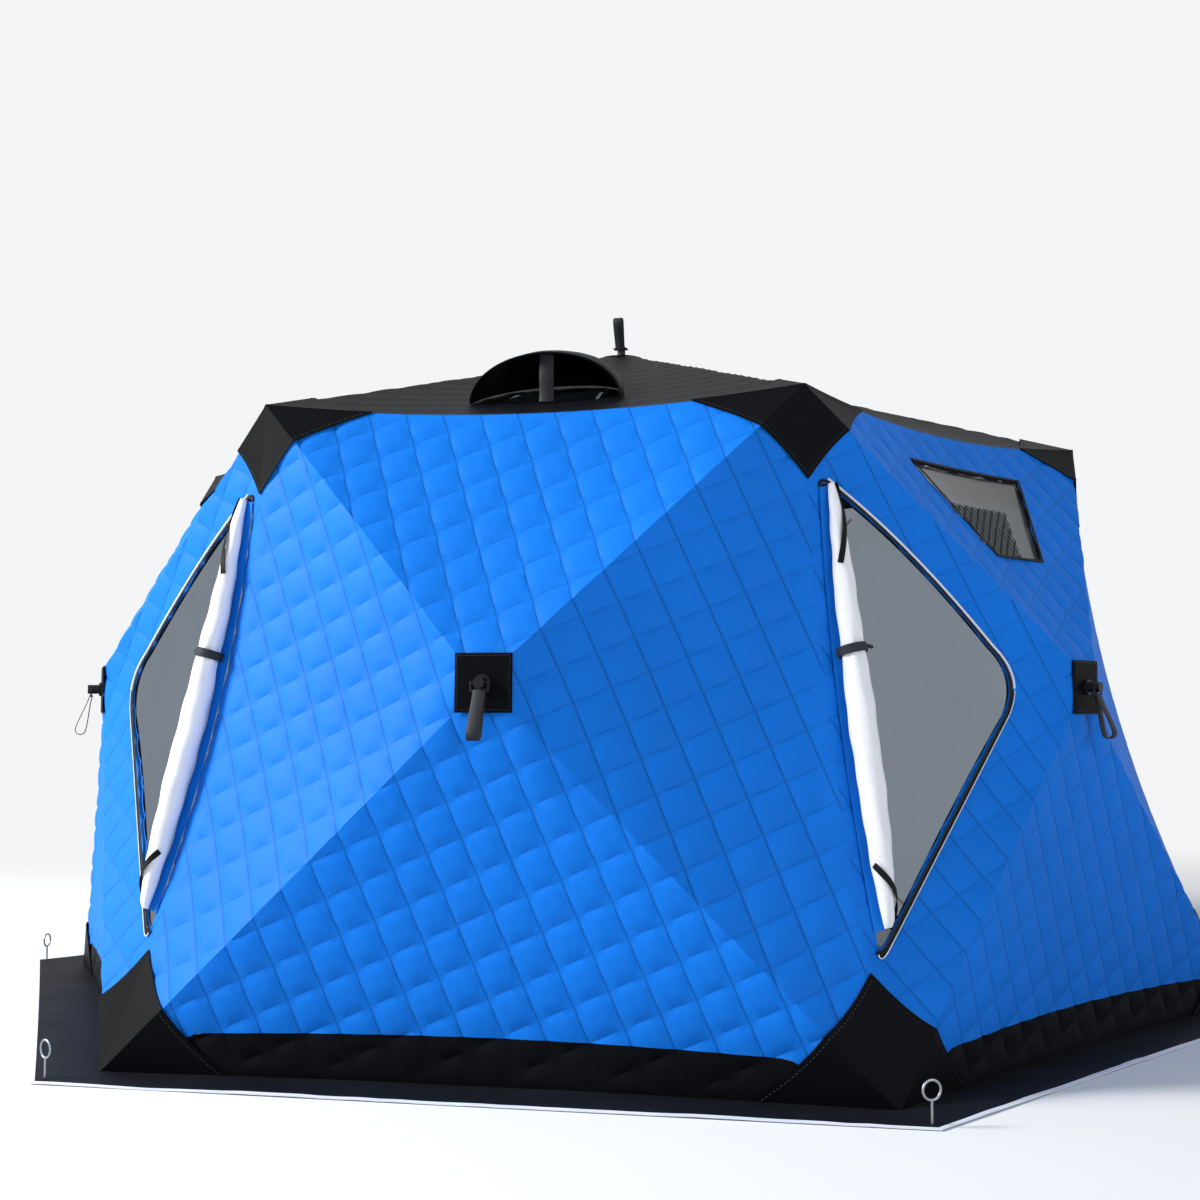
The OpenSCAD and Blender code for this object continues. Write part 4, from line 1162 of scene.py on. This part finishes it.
class Roll:
    """Axis and radius of a rolled door flap beside the front wall's left seam."""

    def __init__(self, form):
        w, s = form.wall, form.s
        self.form = form
        a, b, c = panel_point(w, 3, 0.25, 1), panel_point(w, 3, 0.75, 1), panel_point(w, 3, 0.5, 0.7)
        self.out = np.cross(c - a, b - a)
        self.out /= np.linalg.norm(self.out)
        self.across = panel_point(w, 3, 0.5, 0) - panel_point(w, 3, 0.5, 1)
        self.across /= np.linalg.norm(self.across)
        self.off = s.door_seam + 0.55 * s.roll_radius

    def radius(self, s):
        return self.form.s.roll_radius * (0.30 + 0.70 * math.sin(math.pi * s ** 0.8) ** 0.7)

    def centre(self, s):
        base = panel_point(self.form.wall, 3, mix(ROLL_FROM, ROLL_TO, s), 1)
        return base + self.across * self.off + self.out * (self.radius(s) + 0.0075)

    def at(self, s, angle, grow=0.0):
        """A point on the roll and the direction out of it; the angle runs from away-from-seam outwards."""
        way = self.across * math.cos(angle) + self.out * math.sin(angle)
        return self.centre(s) + way * (self.radius(s) + grow), way


class HUT_OT_flaps(bpy.types.Operator):
    """Makes the door flaps, rolled up beside the corner seams, and their ties"""
    bl_idname = "hut.flaps"
    bl_label = "Rolled door flaps"

    def execute(self, context):
        form, get = Form(sizes()), finishes()
        roll = Roll(form)
        turns, around, steps = 3.8, 26, 84
        tie_at = 0.60
        outer, inner = [], []
        for j in range(steps + 1):
            s = j / steps
            squeeze = math.exp(-((s - tie_at) / 0.035) ** 2)
            z = form.s.wall_height * mix(ROLL_FROM, ROLL_TO, s)
            hinge = on_wall(form, [(form.seam(z) + form.s.door_seam - 0.006, z)], 0.0032)[0][0]
            row_out, row_in = [], []
            for i in range(int(turns * around) + 1):
                turn = i / around
                angle = turn * math.tau - math.pi / 2
                crease = (0.0016 * math.sin(31 * s + 3 * math.cos(angle)) * math.sin(2 * angle + 9 * s)
                          + 0.0011 * math.sin(67 * s + 2.2 * math.sin(angle))
                          + 0.0030 * squeeze * math.cos(6 * angle))
                share = 1 - 0.93 * turn / turns
                radius = (roll.radius(s) - 0.0030 - 0.0040 * squeeze + crease) * share
                way = roll.across * math.cos(angle) + roll.out * math.sin(angle)
                point = roll.centre(s) + way * radius
                row_out.append(point)
                row_in.append(point - way * min(0.0022, 0.10 * radius + 0.0006))
            up = roll.out * 0.0018
            root = [mix(hinge, row_out[0], q) for q in (0, 0.35, 0.7)]
            outer.append([p - up * 0.5 for p in root] + row_out)
            inner.append([p + up * 0.5 for p in root] + row_in)
        points, faces = shell_faces(np.array(outer), np.array(inner))
        columns = len(outer[0])
        slots = [1 if all(i % columns <= len(root) for i in face) else 0 for face in faces]
        curls = []
        for low, high, start, sweep in ((0.0, 0.13, -0.6, 3.4), (0.80, 1.0, 2.3, -2.2)):
            line = [roll.at(mix(low, high, q), start + sweep * q, -0.0012) for q in np.linspace(0, 1, 30)]
            curls.append(ribbon([p for p, _ in line], [u for _, u in line], 0.016, 0.0022))
        ring = [roll.at(tie_at, a, -0.0050) for a in np.linspace(0, math.tau, 49)[:-1]]
        strap = ribbon([p for p, _ in ring], [u for _, u in ring], 0.024, 0.0030, closed=True)
        knob, way = roll.at(tie_at, 0.45, 0.0045)
        axis = (roll.across * 0.8 + roll.out * -0.6)
        third = np.cross(axis, way)
        # The toggle's profile: distance from its middle and radius, in mm
        half = ((5, 4.4), (6, 5.6), (13, 5.8), (16, 5.4), (18.5, 3.6), (19, 0.5))
        profile = [(-a, b) for a, b in reversed(half)] + list(half)
        rings = np.array([[knob + axis * (a * MM) + (way * math.cos(t) + third * math.sin(t)) * (b * MM)
                           for t in np.linspace(0, math.tau, 17)[:-1]] for a, b in profile])
        m = 16
        lathe = [(i * m + j, i * m + (j + 1) % m, (i + 1) * m + (j + 1) % m, (i + 1) * m + j)
                 for i in range(len(profile) - 1) for j in range(m)]
        lathe += [tuple(range(m)), tuple((len(profile) - 1) * m + j for j in reversed(range(m)))]
        for side, mirrored in DOOR_SIDES:
            take = lambda p: at_side(p, mirrored)
            obj = cloth(side + "_rolled_flap", [(take(points), faces)],
                        (get("Coated white lining"), get("Plain blue polyester")), 40, slots)
            declare(obj, [side + "_door_flap"])
            edge = cloth(side + "_flap_zip", [(take(p), f) for p, f in curls], (get("Zip tape"),), 40)
            declare(edge)
            tie = cloth(side + "_flap_tie", [(take(strap[0]), strap[1])], (get("Nylon webbing"),), 40)
            declare(tie, [side + "_door_tie"])
            toggle = cloth(side + "_toggle", [(take(rings.reshape(-1, 3)), lathe)],
                           (get("Moulded black nylon"),), 40)
            declare(toggle)
        return {"FINISHED"}


def bilinear(corners, n, m):
    """Places on a four-sided outline, row by row."""
    a, b, c, d = corners
    u, v = np.linspace(0, 1, n + 1)[:, None, None], np.linspace(0, 1, m + 1)[None, :, None]
    return (a * (1 - u) + b * u) * (1 - v) + (d * (1 - u) + c * u) * v


COVER_SHARE = 0.36   # the folded cover hides this share of a window's height
VINYL_DEPTH, COVER_DEPTH, NET_DEPTH = 0.0102, 0.0160, 0.0072     # behind the wall's outer face
NET_PITCH = 0.022    # distance of the netting's strands
NET_WAYS = (0.82, 0.57), (-0.30, 0.95)
BINDING = 0.009, 0.0022      # width and thickness of the tape around a window


def netting_strands(form):
    """Two crossing rows of strands in the lower left of a window, with the way they face."""
    a, b, c, d = form.window(0.004)
    left, right = mix(a, d, 0.44), mix(b, c, 0.44)
    outline = np.array([left, mix(left, right, 0.74), mix(d, c, 0.62), d])
    strands = []
    for way in NET_WAYS:
        way = np.array(way) / np.linalg.norm(way)
        normal = np.array((-way[1], way[0]))
        reach = outline @ normal
        for offset in np.arange(reach.min() + NET_PITCH / 2, reach.max(), NET_PITCH):
            hits = []
            for k in range(4):
                start, end = outline[k], outline[(k + 1) % 4]
                before, after = start @ normal - offset, end @ normal - offset
                if before * after < 0:
                    hits.append(mix(start, end, before / (before - after)))
            if len(hits) == 2:
                line = np.array([mix(hits[0], hits[1], q) for q in np.linspace(0, 1, 8)])
                points = on_wall(form, line, 0)[0] + np.array((0, NET_DEPTH, 0))
                strands.append((points, np.tile((0.0, -1.0, 0.0), (len(points), 1))))
    return strands


class HUT_OT_windows(bpy.types.Operator):
    """Makes the clear windows with their binding, netting and folded covers"""
    bl_idname = "hut.windows"
    bl_label = "Windows"

    def execute(self, context):
        form, get = Form(sizes()), finishes()
        n, m = 40, 20
        grid = bilinear(form.window(0.016), n, m)
        places = grid.reshape(-1, 2)
        bulge = 0.0012 * ripples(places * 3.5, 2)
        front = on_wall(form, places, 0)[0] + np.array((0, 1, 0)) * (VINYL_DEPTH + bulge)[:, None]
        back = front + np.array((0, 0.0012, 0))
        sheet = shell_faces(front.reshape(n + 1, m + 1, 3), back.reshape(n + 1, m + 1, 3))
        corners = form.window(0.0005)
        edge = []
        for k in range(4):
            edge += [mix(corners[k], corners[(k + 1) % 4], q) for q in np.linspace(0, 1, 13)[:-1]]
        at, up = on_wall(form, np.array(edge), 0.0004)
        binding = ribbon(at, up, *BINDING, closed=True)
        upper = form.window(0.012)
        strip = bilinear((upper[0], upper[1], mix(upper[1], upper[2], COVER_SHARE),
                          mix(upper[0], upper[3], COVER_SHARE)), n, 8)
        folds = 0.0016 * np.sin(strip[..., 1].ravel() * 190)
        near = on_wall(form, strip.reshape(-1, 2), 0)[0]
        near = near + np.array((0, 1, 0)) * (COVER_DEPTH + folds)[:, None]
        far = near + np.array((0, 0.0015, 0))
        cover = shell_faces(near.reshape(n + 1, 9, 3), far.reshape(n + 1, 9, 3))
        strands = netting_strands(form)
        for side, mirrored in DOOR_SIDES:
            take = lambda p: at_side(p, mirrored)
            obj = cloth(side + "_vinyl_window", [(take(sheet[0]), sheet[1])], (get("Clear vinyl"),), 40)
            declare(obj, [side + "_window"])
            tape = cloth(side + "_window_binding", [(take(binding[0]), binding[1])], (get("Zip tape"),), 40)
            declare(tape)
            net = along_lines(side + "_window_netting", [(take(p), take(u)) for p, u in strands],
                              piping_tree(), Radius=0.0012, Material=get("Window netting"))
            declare(net)
            folded = cloth(side + "_window_cover", [(take(cover[0]), cover[1])],
                           (get("Window cover cloth"),), 40)
            declare(folded)
        return {"FINISHED"}


HOOD_THICK = 0.004


class HUT_OT_vent(bpy.types.Operator):
    """Makes the roof vent's hood and prop"""
    bl_idname = "hut.vent"
    bl_label = "Roof vent"

    def execute(self, context):
        form, get = Form(sizes()), finishes()
        s, n, m = form.s, 56, 22

        def hood(less):
            rows = []
            for i in range(n + 1):
                a = math.pi * i / n
                row = []
                for j in range(m + 1):
                    w = math.pi / 2 * j / m
                    pull = 0.0035 * math.sin(a) * math.sin(2 * w) * (0.5 + 0.5 * math.sin(7 * a + 5 * w))
                    pull += 0.0022 * math.sin(a) * max(0, math.sin(13 * a)) * math.sin(w)
                    x = -(s.vent_radius - less) * math.cos(a)
                    y = -s.vent_front + (s.vent_length - less - pull) * math.sin(a) * math.sin(w)
                    z = form.roof_at(np.array([x]), np.array([y]))[0][0] + 0.0009
                    row.append((x, y, z + (s.vent_height - less - pull) * math.sin(a) * math.cos(w)))
                rows.append(row)
            return np.array(rows)

        outer = hood(0.0)
        points, faces = shell_faces(outer, hood(HOOD_THICK))
        obj = cloth("vent_hood_cloth", [(points, faces)], (get("Coated patch cloth"),), 40)
        declare(obj, ["vent_hood"])
        rim = outer[1:-1, 0] + np.array((0, 0.001, -0.002))
        cord = along_lines("vent_rim", [(rim, np.tile((0.0, 0.0, 1.0), (len(rim), 1)))], piping_tree(),
                           Radius=0.003, Material=get("Coated patch cloth"))
        declare(cord)
        low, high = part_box("vent_prop")
        mid_y = (low.y + high.y) / 2 - 0.0015
        line = [(0.0, mid_y + 0.002 * math.sin(9 * q), mix(low.z, high.z, q)) for q in np.linspace(0, 1, 14)]
        strap = ribbon(line, np.tile((0.0, -1.0, 0.0), (14, 1)), high.x - low.x, 0.003)
        prop = cloth("vent_prop_strap", [strap], (get("Prop webbing"),), 40)
        declare(prop, ["vent_prop"])
        return {"FINISHED"}


def loop_line(long):
    """A pull loop's inner outline, hanging from its bar in a plane of its own."""
    r, wide = 0.0028, 0.014
    low = long - wide
    half = [(r * math.cos(a), r * math.sin(a)) for a in np.radians(range(90, -1, -18))]
    for step in range(1, 8):
        q = step / 8
        half.append((mix(r, wide, q * q * (3 - 2 * q)), -low * q))
    half += [(wide * math.cos(a), -low + wide * math.sin(a)) for a in np.radians(range(0, -73, -12))]
    return np.array(half + [(0, -long)] + [(-a, b) for a, b in half[:0:-1]])


WALL_STRAP, ROOF_STRAP = 0.122, 0.104        # length of a hanging loop
STRAP_LEAN, ROOF_STRAP_LEAN = math.radians(-16), math.radians(-160)
STRAP_TAPE = 0.032, 0.0024   # width and thickness of the webbing
BAR_OUT, BAR_LOW = 0.0351, 0.022     # a hub's bar: distance out from the hub's flat, and below its middle
HUB_PATCH_TOP, HUB_PATCH_UNDER = 0.0029, 0.0005      # heights of a hub patch's faces above the cloth
HUB_PATCH_HOLE = 0.0116      # radius of the hole for the hub's stem
HUB_PATCH_EDGE = 0.0006      # the patch's edge is rounded by this much
HUB_STITCH_IN = 0.008        # the stitches run this far inside the patch's edge


class HUT_OT_straps(bpy.types.Operator):
    """Makes the pull straps and the patches around the hubs"""
    bl_idname = "hut.straps"
    bl_label = "Pull straps and hub patches"

    def execute(self, context):
        form, get = Form(sizes()), finishes()
        s = form.s
        straps = []

        def strap(long, pivot, tilt, sway):
            line = loop_line(long)
            ahead = np.roll(line, -1, 0) - np.roll(line, 1, 0)
            normal = np.stack((ahead[:, 1], -ahead[:, 0]), 1)
            normal /= np.linalg.norm(normal, axis=1)[:, None]
            if normal[len(line) // 2] @ np.array((0, -1)) < 0:
                normal = -normal
            c, d = math.cos(tilt), math.sin(tilt)

            def lean(flat):
                y, z = flat[:, 0] * c - flat[:, 1] * d, flat[:, 0] * d + flat[:, 1] * c
                return np.stack((np.zeros(len(flat)), y, z), 1)

            points = lean(line) + pivot
            points[:, 0] += sway * (line[:, 1] / long)
            return ribbon(points, lean(normal), *STRAP_TAPE, closed=True)

        wall_pivot = np.array((0, -form.hub_out - BAR_OUT, s.hub_height - BAR_LOW))
        for n in range(SIDES):
            points, faces = strap(WALL_STRAP, wall_pivot, STRAP_LEAN, 0.006 * (-1) ** n)
            straps.append((turned(points, n), faces))
        roof_pivot = np.array((0, -BAR_LOW, s.roof_height + BAR_OUT))
        straps.append(strap(ROOF_STRAP, roof_pivot, ROOF_STRAP_LEAN, 0.0))
        obj = cloth("webbing_pull_straps", straps, (get("Nylon webbing"),), 40)
        declare(obj, ["pull_straps"])
        patches, rows = [], []
        around, rings = 48, 9
        for n in range(SIDES + 1):
            on_roof = n == SIDES
            lifts = [[], []]
            seam = []
            for i in range(around):
                a = math.tau * i / around
                if on_roof:
                    off = (a + HALF_TURN) % TURN - HALF_TURN
                    rim = s.hub_patch / 2 / math.cos(off)
                else:
                    rim = s.hub_patch / 2 / max(abs(math.cos(a)), abs(math.sin(a)))
                for layer, lift in enumerate((HUB_PATCH_TOP, HUB_PATCH_UNDER)):
                    row = []
                    for j in range(rings + 1):
                        radius = mix(HUB_PATCH_HOLE, rim - (HUB_PATCH_EDGE if layer else 0), j / rings)
                        place = radius * math.cos(a), radius * math.sin(a)
                        down = HUB_PATCH_EDGE if layer == 0 and j == rings else 0
                        row.append((*place, lift - down))
                    lifts[layer].append(row)
                seam.append((math.cos(a) * (rim - HUB_STITCH_IN), math.sin(a) * (rim - HUB_STITCH_IN)))

            def stand(p):
                p = np.asarray(p, dtype=float).reshape(-1, 3)
                if on_roof:
                    z = form.roof_at(p[:, 0], p[:, 1])[0]
                    return np.stack((p[:, 0], p[:, 1], z + p[:, 2]), 1)
                y = form.wall_at(p[:, 0], p[:, 1] + s.hub_height)[0]
                return turned(np.stack((p[:, 0], y - p[:, 2], p[:, 1] + s.hub_height), 1), n)

            top, under = (stand(layer).reshape(around, rings + 1, 3) for layer in lifts)
            patches.append(shell_faces(top, under, closed_i=True))
            line = stand([(*p, 0.0032) for p in seam + seam[:1]])
            up = np.array((0, 0, 1.0)) if on_roof else turned(np.array((0, -1.0, 0)), n)
            rows.append((line, np.tile(up, (len(line), 1))))
        obj = cloth("hub_patch_cloth", patches, (get("Coated patch cloth"),), 30)
        declare(obj, ["hub_patches"])
        stitches = along_lines("hub_patch_stitches", rows, stitch_row(), Pitch=0.008,
                               Size=(0.0055, 0.0018, 0.0012), Material=get("Sewing thread"))
        declare(stitches)
        return {"FINISHED"}


class HUT_OT_hardware(bpy.types.Operator):
    """Gives the hubs, poles and ice anchors their finishes"""
    bl_idname = "hut.hardware"
    bl_label = "Hubs, poles and anchors"

    def execute(self, context):
        get = finishes()
        kinds = {"hub": "Moulded black nylon", "poles": "Pultruded glass fibre",
                 "anchors": "Zinc-plated wire"}
        for name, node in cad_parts.items():
            kind = kinds.get(name.split("_")[-1])
            if kind and not node.hide_render:
                node.data.materials.clear()
                node.data.materials.append(get(kind))
        return {"FINISHED"}


FLOOR_RADIUS = 60
FLOOR_FADE = (3.0, 7.5)      # between these radii the floor fades into the backdrop
PALE = (0.90, 0.91, 0.92, 1)
CAMERA_PLACE = (1.161, -5.752, 0.903)
CAMERA_YAW, CAMERA_PITCH, CAMERA_ROLL = 12.13, 3.91, 0.07     # degrees
CAMERA_LENS = 51.0           # mm, on a sensor 36 mm wide
# name, place, aim, size, power and tint
LIGHTS = (("key", (-9.0, -4.2, 6.6), (0, 0, 1.0), 3.2, 2000, (1.0, 0.98, 0.95)),
          ("fill", (6.5, -7.0, 4.0), (0, 0, 1.0), 5.0, 200, (0.92, 0.96, 1.0)))


class HUT_OT_stage(bpy.types.Operator):
    """Sets up the floor, the soft studio light and the camera"""
    bl_idname = "hut.stage"
    bl_label = "Stage"

    def execute(self, context):
        scene = context.scene
        scene.view_settings.view_transform = "Standard"
        work = bmesh.new()
        bmesh.ops.create_circle(work, cap_ends=True, radius=FLOOR_RADIUS, segments=96)
        mesh = bpy.data.meshes.new("floor")
        work.to_mesh(mesh)
        work.free()
        floor = new_object("floor", mesh)
        floor.location.z = -0.0005
        material, tree, shader = surface("Studio floor", Roughness=0.9, Base_Color=(0.80, 0.81, 0.82, 1))
        place = add(tree, "ShaderNodeTexCoord").outputs["Object"]
        reach = add(tree, "ShaderNodeVectorMath", {0: place}, operation="LENGTH")
        far = add(tree, "ShaderNodeMapRange",
                  {"Value": reach.outputs["Value"], "From Min": FLOOR_FADE[0], "From Max": FLOOR_FADE[1]},
                  interpolation_type="SMOOTHSTEP")
        glow = add(tree, "ShaderNodeEmission", {"Color": PALE, "Strength": 1.0})
        both = add(tree, "ShaderNodeMixShader",
                   {0: far.outputs[0], 1: shader.outputs[0], 2: glow.outputs[0]})
        output = next(n for n in tree.nodes if n.type == "OUTPUT_MATERIAL")
        tree.links.new(both.outputs[0], output.inputs["Surface"])
        mesh.materials.append(material)

        world = bpy.data.worlds.new("Studio")
        scene.world = world
        world.use_nodes = True
        tree = world.node_tree
        tree.nodes.clear()
        rays = add(tree, "ShaderNodeLightPath")
        seen = add(tree, "ShaderNodeMath",
                   {0: rays.outputs["Is Camera Ray"], 1: rays.outputs["Is Glossy Ray"]}, operation="MAXIMUM")
        seen = add(tree, "ShaderNodeMath", {0: seen.outputs[0], 1: rays.outputs["Is Transmission Ray"]},
                   operation="MAXIMUM")
        lamp = add(tree, "ShaderNodeBackground", {"Color": (0.86, 0.92, 1.0, 1), "Strength": 0.38})
        back = add(tree, "ShaderNodeBackground", {"Color": PALE, "Strength": 1.0})
        both = add(tree, "ShaderNodeMixShader", {0: seen.outputs[0], 1: lamp.outputs[0], 2: back.outputs[0]})
        add(tree, "ShaderNodeOutputWorld", {"Surface": both.outputs[0]})

        for name, place, aim, size, power, tint in LIGHTS:
            data = bpy.data.lights.new(name, "AREA")
            data.shape, data.size, data.energy, data.color = "DISK", size, power, tint
            light = bpy.data.objects.new(name, data)
            scene.collection.objects.link(light)
            way = np.array(aim) - np.array(place)
            heading = math.atan2(-way[0], way[1])
            drop = math.atan2(way[2], math.hypot(way[0], way[1]))
            light.matrix_world = (Matrix.Translation(place) @ Matrix.Rotation(heading, 4, "Z")
                                  @ Matrix.Rotation(math.pi / 2 + drop, 4, "X"))

        data = bpy.data.cameras.new("camera")
        data.sensor_width, data.lens = 36, CAMERA_LENS
        data.clip_end = 200
        camera = bpy.data.objects.new("camera", data)
        scene.collection.objects.link(camera)
        camera.matrix_world = (Matrix.Translation(CAMERA_PLACE)
                               @ Matrix.Rotation(math.radians(CAMERA_YAW), 4, "Z")
                               @ Matrix.Rotation(math.radians(90 + CAMERA_PITCH), 4, "X")
                               @ Matrix.Rotation(math.radians(CAMERA_ROLL), 4, "Z"))
        scene.camera = camera
        return {"FINISHED"}


class HUT_PT_panel(bpy.types.Panel):
    """Lists the steps that make the hut"""
    bl_idname = "HUT_PT_panel"
    bl_label = "Ice fishing hut"
    bl_space_type = "VIEW_3D"
    bl_region_type = "UI"
    bl_category = "Hut"

    def draw(self, context):
        for step in STEPS_IN_ORDER:
            self.layout.operator(step.bl_idname)
        for group in (context.scene.hut_sizes, context.scene.hut_colours):
            for name in group.__annotations__:
                self.layout.prop(group, name)


STEPS_IN_ORDER = (HUT_OT_stage, HUT_OT_walls, HUT_OT_roof, HUT_OT_band, HUT_OT_patches, HUT_OT_skirt,
                  HUT_OT_doorways, HUT_OT_flaps, HUT_OT_windows, HUT_OT_vent, HUT_OT_straps, HUT_OT_hardware)


def register():
    for kind in (HutSizes, HutColours, *STEPS_IN_ORDER, HUT_PT_panel):
        bpy.utils.register_class(kind)
    bpy.types.Scene.hut_sizes = bpy.props.PointerProperty(type=HutSizes)
    bpy.types.Scene.hut_colours = bpy.props.PointerProperty(type=HutColours)


def unregister():
    del bpy.types.Scene.hut_sizes, bpy.types.Scene.hut_colours
    for kind in reversed((HutSizes, HutColours, *STEPS_IN_ORDER, HUT_PT_panel)):
        bpy.utils.unregister_class(kind)


def main():
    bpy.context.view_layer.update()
    register()
    for step in STEPS_IN_ORDER:
        getattr(bpy.ops.hut, step.bl_idname.split(".")[1])()


if __name__ == "__main__":
    main()
